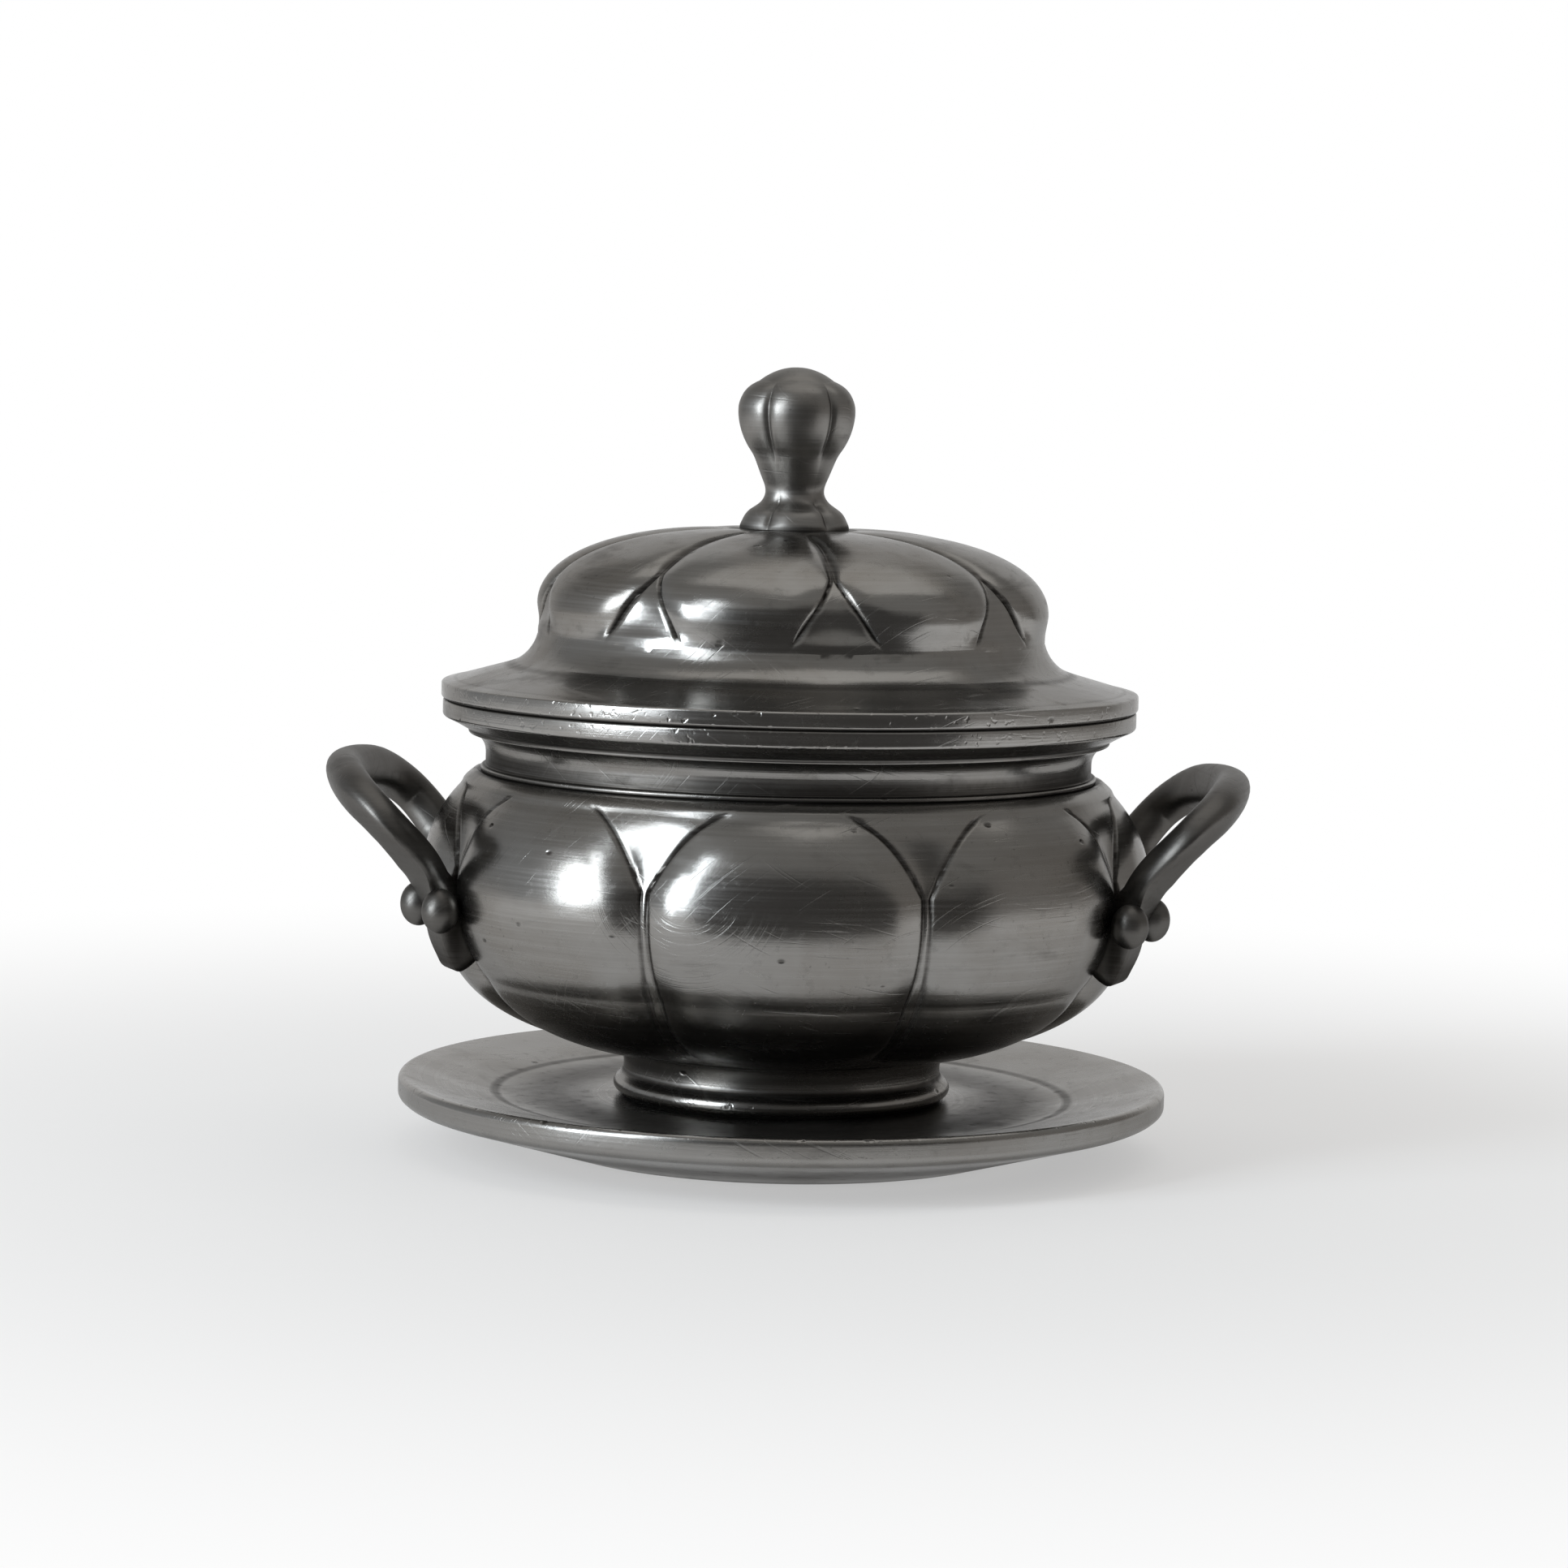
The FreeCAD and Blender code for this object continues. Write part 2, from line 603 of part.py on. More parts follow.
def handle_shape():
    """Strap, ball bosses and feet in the bowl's frame, for the handle on the +X side."""
    half = math.pi / read("lobe_count")
    out_at_foot = FreeCAD.Vector(math.cos(half), math.sin(half), 0)
    sideways = FreeCAD.Vector(-math.sin(half), math.cos(half), 0)
    up = FreeCAD.Vector(0, 0, 1)
    lean = math.radians(read("loop_lean"))
    turn_out = math.radians(read("loop_turn_out"))
    under = FreeCAD.Vector(math.sin(lean), 0, -math.cos(lean))
    centre_off = read("strap_stand_off") - read("strap_depth") / 2

    def on_foot(height):
        return out_at_foot * (crease_radius(height) + centre_off) + up * height

    tail = read("strap_tail_height")
    tail_round = read("strap_tail_round")
    knee = tail + read("strap_knee_rise")
    ball_height = knee + read("strap_ball_rise")
    leave = ball_height + read("strap_leave_rise")
    leave_crease = crease_radius(leave)
    route = [
        on_foot(tail) - out_at_foot * tail_round,
        on_foot(tail + tail_round),
        on_foot(knee),
        on_foot(ball_height),
        out_at_foot * (leave_crease + read("strap_leave_off")) + up * leave,
    ]
    on_body = len(route) - 1
    height = leave
    for place in ("leg", "corner", "bend", "apex"):
        spread = 0 if place == "apex" else read(f"{place}_spread")
        height += read(f"{place}_rise")
        route.append(FreeCAD.Vector(
            leave_crease * math.cos(half) + read(f"{place}_out"), spread, height))
    route += [FreeCAD.Vector(point.x, -point.y, point.z) for point in reversed(route[:-1])]
    last = len(route) - 1
    wires = []
    for index, point in enumerate(route):
        along = (route[min(index + 1, last)] - route[max(index - 1, 0)]).normalize()
        place = min(index, last - index)
        side = 1 if index <= last / 2 else -1
        outward = FreeCAD.Vector(out_at_foot.x, out_at_foot.y * side, 0)
        loop_out = along.cross(under) * math.sin(turn_out)
        free = under * math.cos(turn_out) + loop_out
        if place < on_body:
            out = outward
        elif place == on_body:
            out = outward + free
        else:
            out = free
        taper = max(place - on_body, 0) / (last / 2 - on_body)
        width = read("strap_width") * (1 - taper) + read("strap_apex_width") * taper
        if place == 0:
            width -= 2 * tail_round
        depth = read("strap_root_depth") if place < on_body else read("strap_depth")
        wires.append(strap_section(point, along, out, width, depth))
    shape = Part.makeLoft(wires, True, False)
    ball = ball_shape()
    reach = crease_radius(ball_height) + read("ball_stand_off")
    aside = read("strap_width") / 2 + read("ball_radius") - read("ball_bury")
    for mirror in (1, -1):
        for spread in (-aside, aside):
            spot = out_at_foot * reach + sideways * spread + up * ball_height
            boss = ball.copy()
            boss.translate(FreeCAD.Vector(spot.x, spot.y * mirror, spot.z))
            shape = shape.fuse(boss)
    return shape.cut(bowl_outside.Shape)


# Handles: one casting each, the second turned half a turn round the bowl.
handles = []
for name, turn in (("handle_right", 0), ("handle_left", 180)):
    handle = doc.addObject("Part::Feature", name)
    handle.Label = name
    handle.Shape = handle_shape()
    handle.Placement = FreeCAD.Placement(
        FreeCAD.Vector(0, 0, bowl_seat.value), FreeCAD.Rotation(FreeCAD.Vector(0, 0, 1), turn))
    handle.setExpression("Placement.Base.z", bowl_seat.text)
    handles.append(handle)
doc.recompute()

parts = [plate, foot, bowl, collar, *handles, lid, bezel, knob, stud, washer, nut]
for item in doc.Objects:
    if "Invalid" in item.State or "Error" in item.State:
        raise RuntimeError(f"{item.Name} failed: {item.State}")
for part in parts:
    if part.Shape.isNull() or not part.Shape.isValid():
        raise RuntimeError(f"{part.Label} has no valid shape")
os.makedirs("parts", exist_ok=True)
for part in parts:
    part.Shape.exportStep(f"parts/{part.Label}.step")
    box = part.Shape.BoundBox
    print(f"{part.Label}: {len(part.Shape.Solids)} solid, {part.Shape.Volume / 1000:.2f} cm3, "
          f"z {box.ZMin:.2f} to {box.ZMax:.2f}")
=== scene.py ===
import math

import bmesh
import bpy
import numpy as np
from mathutils import Matrix, Vector


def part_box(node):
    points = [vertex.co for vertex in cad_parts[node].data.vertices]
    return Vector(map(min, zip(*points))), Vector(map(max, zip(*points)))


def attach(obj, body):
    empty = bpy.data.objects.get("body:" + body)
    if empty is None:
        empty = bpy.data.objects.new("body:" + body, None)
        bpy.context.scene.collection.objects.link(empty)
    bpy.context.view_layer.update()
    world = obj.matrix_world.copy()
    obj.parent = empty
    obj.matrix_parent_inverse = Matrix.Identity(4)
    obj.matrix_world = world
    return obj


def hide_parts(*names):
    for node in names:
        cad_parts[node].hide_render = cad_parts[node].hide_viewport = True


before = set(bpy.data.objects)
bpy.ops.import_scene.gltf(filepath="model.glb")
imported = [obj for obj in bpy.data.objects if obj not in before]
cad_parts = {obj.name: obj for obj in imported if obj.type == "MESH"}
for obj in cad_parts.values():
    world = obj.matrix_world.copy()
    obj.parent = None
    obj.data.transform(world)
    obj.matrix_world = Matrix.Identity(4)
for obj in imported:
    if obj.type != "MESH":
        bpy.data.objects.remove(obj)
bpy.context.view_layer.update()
mm = 0.001
print("frame loaded")

# underside of each node in mm; the pieces' dictionaries give their heights above it
seat = {node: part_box(node)[0].z / mm for node in (
    "underplate", "foot_ring", "bowl_body", "bowl_collar", "lid_dome", "lid_bezel", "knob")}


def leg(start, stop, arc, stepLength=0.7, fewest=6):
    # points from start up to stop, along a line or a shorter arc that bulges right for arc > 0
    start, stop = np.array(start, float), np.array(stop, float)
    if not arc:
        return np.array([start, stop])
    way = stop - start
    length = np.hypot(*way)
    side = np.array([way[1], -way[0]]) / length
    centre = (start + stop) / 2 - side * math.copysign(math.sqrt(arc**2 - length**2 / 4), arc)
    turn = math.copysign(2 * math.asin(length / 2 / abs(arc)), arc)
    angles = np.linspace(0, turn, max(fewest, int(abs(turn * arc) / stepLength)) + 1)
    spoke = start - centre
    return centre + np.stack([
        spoke[0] * np.cos(angles) - spoke[1] * np.sin(angles),
        spoke[0] * np.sin(angles) + spoke[1] * np.cos(angles)], 1)


def runAlong(points):
    # how far along a flat line each of its points lies
    return np.concatenate([[0], np.cumsum(np.hypot(*np.diff(points, axis=0).T))])


def pointsAt(points, run, at):
    return np.stack([np.interp(at, run, points[:, axis]) for axis in (0, 1)], 1)


def evenly(points, count):
    # the same line with its points at even steps
    run = runAlong(points)
    return pointsAt(points, run, np.linspace(0, run[-1], count))


def trimmed(points, head, tail, most=0.49, tiny=1e-6):
    # the stretch of a leg that is left once both ends are cut back, each by less than half
    run = runAlong(points)
    head, tail = min(head, run[-1] * most), min(tail, run[-1] * most)
    kept = run[(run > head + tiny) & (run < run[-1] - tail - tiny)]
    return pointsAt(points, run, np.concatenate([[head], kept, [run[-1] - tail]]))


def outline(corners, closed=False, segments=5, tiny=1e-4):
    # corners are (radius, height, rounding, arc of the leg that leaves it); the last two are optional
    corners = [tuple(corner) + (0,) * (4 - len(corner)) for corner in corners]
    count = len(corners)
    legs = [leg(corners[i][:2], corners[(i + 1) % count][:2], corners[i][3])
            for i in range(count if closed else count - 1)]
    cuts = [(corners[i][2], corners[(i + 1) % count][2]) for i in range(len(legs))]
    legs = [trimmed(points, *cut) for points, cut in zip(legs, cuts)]
    path = []
    for i, points in enumerate(legs):
        before = legs[i - 1][-1] if closed or i else None
        corner, rounding = np.array(corners[i][:2], float), corners[i][2]
        if rounding and before is not None:
            for share in np.linspace(0, 1, segments + 1)[:-1]:
                path.append(before * (1 - share)**2 + corner * 2 * share * (1 - share)
                            + points[0] * share**2)
        path.extend(points[:-1])
    if not closed:
        path.append(legs[-1][-1])
    kept = [path[0]]
    for point in path[1:]:
        if np.hypot(*(point - kept[-1])) > tiny:
            kept.append(point)
    return np.array(kept)


def spread(points, gap):
    # adds points on legs that are longer than the gap
    dense = []
    for a, b in zip(points[:-1], points[1:]):
        count = max(1, int(np.hypot(*(b - a)) / gap))
        dense.extend(a + (b - a) * i / count for i in range(count))
    return np.array([*dense, points[-1]])


def raised(rows, level):
    # rows of (radius, height, ...) moved up from a piece's own underside to where it stands
    return [(radius, height + level, *rest) for radius, height, *rest in rows]


def smoothStep(value):
    value = np.clip(value, 0, 1)
    return value * value * (3 - 2 * value)


def ramp(value, start, length):
    # 0 up to the start, 1 from a length beyond it; a negative length looks the other way
    return smoothStep((value - start) / length)


def spun(points, steps, closed=False):
    # a wire of (radius, height) in mm spun all the way round, each vertex keeping its row
    bm = bmesh.new()
    row = bm.verts.layers.int.new("row")
    wire = []
    for index, (radius, height) in enumerate(points):
        vert = bm.verts.new((radius * mm, 0, height * mm))
        vert[row] = index
        wire.append(vert)
    pairs = list(zip(wire[:-1], wire[1:])) + ([(wire[-1], wire[0])] if closed else [])
    edges = [bm.edges.new(pair) for pair in pairs]
    bmesh.ops.spin(bm, geom=wire + edges, cent=(0, 0, 0), axis=(0, 0, 1), dvec=(0, 0, 0),
                   angle=2 * math.pi, steps=steps, use_merge=True, use_duplicate=False)
    return bm, row


def readVerts(bm, row):
    rowOf = np.array([vert[row] for vert in bm.verts])
    spots = np.array([vert.co for vert in bm.verts]) / mm
    return rowOf, np.arctan2(spots[:, 1], spots[:, 0]), spots


def moveVerts(bm, spots):
    for vert, spot in zip(bm.verts, spots):
        vert.co = spot * mm


def paint(bm, name, values):
    layer = bm.verts.layers.float.new(name)
    for vert, value in zip(bm.verts, values):
        vert[layer] = float(value)


def ringShare(spots, rings):
    # the strength of each ring (radius, height, width, strength), falling off with distance from it
    radius = np.hypot(spots[:, 0], spots[:, 1])
    share = np.zeros(len(spots))
    for ringRadius, height, width, strength in rings:
        distance = np.hypot(radius - ringRadius, spots[:, 2] - height)
        share = np.maximum(share, strength * np.exp(-(distance / width)**2))
    return share


def placed(name, bm, material):
    mesh = bpy.data.meshes.new(name)
    bm.to_mesh(mesh)
    bm.free()
    item = bpy.data.objects.new(name, mesh)
    bpy.context.scene.collection.objects.link(item)
    mesh.materials.append(material)
    return item


def finished(bm, name, body, node, material, sharp=35):
    # merges what meets, turns the faces outwards and puts the piece in place of its node
    bmesh.ops.remove_doubles(bm, verts=bm.verts[:], dist=2e-6)
    bmesh.ops.dissolve_degenerate(bm, edges=bm.edges[:], dist=1e-7)
    bmesh.ops.recalc_face_normals(bm, faces=bm.faces[:])
    piece = placed(name, bm, material)
    for polygon in piece.data.polygons:
        polygon.use_smooth = True
    piece.data.set_sharp_from_angle(angle=math.radians(sharp))
    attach(piece, body)
    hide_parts(node)
    print(name, len(piece.data.polygons), "faces")


def turnedPiece(name, body, node, shape, material):
    # a piece off the lathe: its outline spun round, with its rings of grime and painted shade, and its
    # worn edges
    level, closed = seat[node], shape.get("closed", False)
    points = spread(outline(raised(shape["corners"], level), closed), gap=3)
    bm, row = spun(points, shape["steps"], closed)
    spots = readVerts(bm, row)[2]
    for layer in ("grimeAndShade", "wear"):
        paint(bm, layer, ringShare(spots, raised(shape[layer], level)))
    finished(bm, name, body, node, material)


def lobeReach(phi, own, offset, climb=0, rise=1):
    # length of a ray from the piece's axis, climbing by an angle, to a lobe whose axis stands off it
    flat, steep = np.cos(climb), np.sin(climb)
    a = flat**2 / own**2 + steep**2 / rise**2
    b = flat * np.cos(phi) * offset / own**2
    c = offset**2 / own**2 - 1
    return (b + np.sqrt(np.maximum(b * b - a * c, 0))) / a


def borders(rows, count, strip, rounds=40):
    # how far each lobe spreads from its middle in every row, up to the strip beside the crease
    half = math.pi / count
    low, high = np.zeros(len(rows["core"])), np.full(len(rows["core"]), half)
    limit = half - strip / 2 / np.maximum(rows["lobe"](half), 1)
    for _ in range(rounds):
        middle = (low + high) / 2
        over = rows["lobe"](middle) > rows["core"]
        low, high = np.where(over, middle, low), np.where(over, high, middle)
    return np.minimum(low, limit)


def lobed(bm, row, rows, first, shape):
    # moves the spun rows that carry lobes, so that mesh lines run along the lobes' borders
    steepest, innerLeast, outerMost, fullRoom = 3, 0.3, 0.45, 8
    rowOf, angle, spots = readVerts(bm, row)
    half = math.pi / shape["count"]
    border = rows["border"]
    reachAt = np.maximum(rows["lobe"](border), rows["core"])
    slant = np.minimum(np.hypot(1, reachAt * np.gradient(border, rows["run"])), steepest)
    band = shape["band"] / np.maximum(reachAt, 2) * slant
    used = (rowOf >= first) & (rowOf < first + len(border))
    place = rowOf[used] - first
    turn = angle[used] - math.radians(shape["direction"])
    sector = np.round(turn / (2 * half))
    aside = turn - sector * 2 * half
    # columns of mesh: across the lobe, then close together over its border, then to the crease
    share = np.abs(aside) / half
    inner = np.maximum(border - band, border * innerLeast)[place]
    outer = np.minimum(border + band, half - (half - border) * outerMost)[place]
    lobeShare, bandShare = shape["columns"]
    phi = np.where(share < lobeShare, inner * share / lobeShare, np.where(
        share < bandShare, inner + (outer - inner) * (share - lobeShare) / (bandShare - lobeShare),
        outer + (half - outer) * (share - bandShare) / (1 - bandShare)))
    edge = border[place]
    lobe = rows["lobe"](np.where(rows["blend"][place] > 0.01, phi, np.minimum(phi, edge)), place)
    core = rows["core"][place]
    proud = lobe - core
    proud = (proud + np.hypot(proud, rows["blend"][place])) / 2  # a soft union where blend is above 0
    reach = core + proud * rows["swell"][place]
    away = (phi - edge) * reachAt[place] / slant[place]  # in mm from the border, below 0 on the lobe
    sink = rows["sink"][place]
    rollOff = np.clip(1 + away / shape["shoulder"], 0, 1)**2
    reach -= shape["droop"] * sink * np.where(away < 0, rollOff, 1)
    groove = np.exp(-(away / rows["grooveWidth"][place])**2) * rows["groove"][place]
    reach -= shape["grooveDepth"] * groove
    room = (half - edge) * reachAt[place]  # from the border to the crease's middle
    dip = shape["hollow"] * np.minimum(room / fullRoom, 1) * sink
    reach -= np.where(away < 0, 0, dip * (1 - ((half - phi) / (half - edge))**2))
    theta = math.radians(shape["direction"]) + sector * 2 * half + np.copysign(phi, aside)
    climb = rows["climb"][place]
    spots[used] = np.stack([
        reach * np.cos(climb) * np.cos(theta), reach * np.cos(climb) * np.sin(theta),
        rows["level"][place] + reach * np.sin(climb)], 1)
    moveVerts(bm, spots)
    # a dark line along each lobe's border: patina in the crease, and in the lid's valleys above the
    # fork also painted shade
    grimeAndShade = np.zeros(len(spots))
    grimeAndShade[used] = np.exp(-(away / rows["grimeWidth"][place])**2) * rows["stain"][place]
    return spots, grimeAndShade


def lobedPiece(name, body, node, wires, rows, shape, material, sharp=50):
    # a lobed casting: the wire before the lobes' rows, the rows' own, and the one after them
    before, own, after = wires
    bm, row = spun(np.concatenate([before, own, after]), shape["steps"])
    spots, grimeAndShade = lobed(bm, row, rows, len(before), shape)
    rings = {layer: ringShare(spots, raised(shape[layer], seat[node])) for layer in ("grimeAndShade", "wear")}
    paint(bm, "grimeAndShade", np.maximum(grimeAndShade, rings["grimeAndShade"]))
    paint(bm, "wear", rings["wear"])
    finished(bm, name, body, node, material, sharp)


class Field:
    # a socket that takes part in sums
    def __init__(self, finish, socket):
        self.finish, self.socket = finish, socket

    def sum(self, operation, first, second=0.0, clamp=False):
        return self.finish.take(
            "ShaderNodeMath", {"operation": operation, "use_clamp": clamp}, {0: first, 1: second})

    def __add__(self, other): return self.sum("ADD", self, other)
    def __radd__(self, other): return self.sum("ADD", other, self)
    def __sub__(self, other): return self.sum("SUBTRACT", self, other)
    def __rsub__(self, other): return self.sum("SUBTRACT", other, self)
    def __mul__(self, other): return self.sum("MULTIPLY", self, other)
    def __rmul__(self, other): return self.sum("MULTIPLY", other, self)

    def clamp(self): return self.sum("ADD", self, 0.0, True)
    def root(self): return self.sum("SQRT", self)
    def above(self, level): return self.sum("GREATER_THAN", self, level)


class Finish:
    def __init__(self, block):  # a material or the world
        self.block = block
        block.use_nodes = True
        self.tree = block.node_tree
        self.tree.nodes.clear()

    def node(self, kind, settings=None, sockets=None):
        node = self.tree.nodes.new(kind)
        for name, value in (settings or {}).items():
            setattr(node, name, value)
        for name, value in (sockets or {}).items():
            if isinstance(value, Field):
                self.tree.links.new(value.socket, node.inputs[name])
            else:
                node.inputs[name].default_value = value
        return node

    def take(self, kind, settings=None, sockets=None, output=0):
        return Field(self, self.node(kind, settings, sockets).outputs[output])

    def place(self):
        return self.take("ShaderNodeTexCoord", output="Object")

    def parts(self, vector):
        node = self.node("ShaderNodeSeparateXYZ", {}, {0: vector})
        return [Field(self, node.outputs[i]) for i in range(3)]

    def vector(self, x, y, z):
        return self.take("ShaderNodeCombineXYZ", {}, {0: x, 1: y, 2: z})

    def noise(self, vector, scale, detail=3.0, rough=0.55, warp=0.0):
        return self.take("ShaderNodeTexNoise", {}, {
            "Vector": vector, "Scale": scale, "Detail": detail, "Roughness": rough,
            "Distortion": warp})

    def spread(self, value, low, high, toLow=0.0, toHigh=1.0):
        return self.take("ShaderNodeMapRange", {"interpolation_type": "SMOOTHSTEP", "clamp": True}, {
            "Value": value, "From Min": low, "From Max": high, "To Min": toLow, "To Max": toHigh})

    def attribute(self, name):
        return self.take("ShaderNodeAttribute", {"attribute_name": name}, {}, "Fac")

    def mixed(self, share, first, second):
        colours = {socket: value if isinstance(value, Field) else (*value, 1)
                   for socket, value in ((6, first), (7, second))}
        return self.take("ShaderNodeMix", {"data_type": "RGBA"}, {0: share, **colours}, 2)

    def metal(self, colour, roughness, height, strength, distance, grazing=1.0):
        # grazing is how bright the metal gets when seen along its face
        bump = self.take("ShaderNodeBump", {}, {
            "Height": height, "Strength": strength, "Distance": distance})
        return self.give(self.take("ShaderNodeBsdfPrincipled", {}, {
            "Base Color": colour, "Roughness": roughness, "Metallic": 1.0,
            "Specular Tint": (grazing, grazing, grazing, 1), "Normal": bump}))

    def give(self, shader, kind="ShaderNodeOutputMaterial"):
        self.node(kind, {}, {0: shader})
        return self.block


# noises are scale, detail, roughness and warp; drawn-out ones start with their stretch in x and y,
# and in z; ranges are where a noise starts to show and where it shows in full
metalLook = {
    "clean": (0.290, 0.284, 0.273), "warm": (0.225, 0.210, 0.192),
    "patinaAndShade": (0.035, 0.031, 0.027), "worn": (0.420, 0.412, 0.400),
    "roughness": 0.215, "bump": (0.55, 0.00005),
    "levelLines": (34, 2300, 1.0, 3.0, 0.65), "broadLines": (18, 520, 1.0, 2.0, 0.5),
    "smears": (55, 190, 1.0, 4.0, 0.62, 0.3),
    "turnedLines": (2600, 9, 7), "turnedNoise": (1.0, 3.0, 0.65),
    "cloud": (46.0, 4.0, 0.6, 0.4), "mottle": (420.0, 5.0, 0.65), "crumbs": (1500.0, 2.0, 0.6),
    "nicks": (900.0, 1.0), "cells": (210.0, 1.7), "pitted": 0.22,
    "scratches": ((0.06, 0.8), (0.5, 1.0), (-0.85, 1.35)),  # tilt and scale of each direction
    "scratchRun": (60, 2200), "scratchNoise": (1.0, 1.0, 0.5), "scratchPatch": (60.0, 2.0),
    "range": {
        "dull": (0.42, 0.66), "speckle": (0.56, 0.72), "smear": (0.56, 0.70), "warm": (0.35, 0.7),
        "pit": (0.05, 0.17, 1.0, 0.0), "pitPatch": (0.36, 0.56), "crumbs": (0.66, 0.74),
        "scratch": (0.64, 0.76), "scratchPatch": (0.46, 0.60), "grimeAndShade": (0.10, 0.75),
        "nick": (0.60, 0.74)},
    "grimeMottle": (0.75, 0.5), "wearCloud": 0.5, "warmShare": (0.4, 0.6), "crest": (0.42, 0.8),
    "tint": {"speckle": 0.22, "smear": 0.42, "scratch": 0.14, "wear": 0.45, "pit": 0.8,
             "crumbs": 0.45, "grimeAndShade": 0.85},
    "rough": {"dull": 0.10, "lines": 0.16, "speckle": 0.08, "smear": 0.07, "scratch": 0.06,
              "grimeAndShade": 0.16, "wear": -0.05},
    "relief": {"lines": 0.9, "broad": 0.7, "mottle": 0.7, "cloud": 3.0, "pit": -3.0,
               "scratch": -0.45, "nick": -2.2},
}

# polishing arcs low on the front lobe, in metres round a centre (x, z), fading out at each end
swirlLook = {
    "centre": (-0.014, 0.0450), "run": (95, 4200), "noise": (1.0, 2.0, 0.6), "range": (0.50, 0.66),
    "inner": (0.0045, 0.0065), "outer": (0.0130, 0.0165), "top": (0.0395, 0.0435),
    "front": (-0.048, -0.044), "right": (0.0, 0.004), "strength": 0.8,
}


def swirlMarks(finish, x, y, z):
    centreX, centreZ = swirlLook["centre"]
    along, across = swirlLook["run"]
    fromCentre = ((x - centreX) * (x - centreX) + (z - centreZ) * (z - centreZ)).root()
    arcs = finish.noise(finish.vector(x * along, z * along, fromCentre * across), *swirlLook["noise"])
    arcs = finish.spread(arcs, *swirlLook["range"]) * finish.spread(fromCentre, *swirlLook["inner"])
    for value, end in ((fromCentre, "outer"), (z, "top"), (y, "front"), (x, "right")):
        arcs = arcs * finish.spread(value, *swirlLook[end], 1.0, 0.0)
    return arcs * swirlLook["strength"]


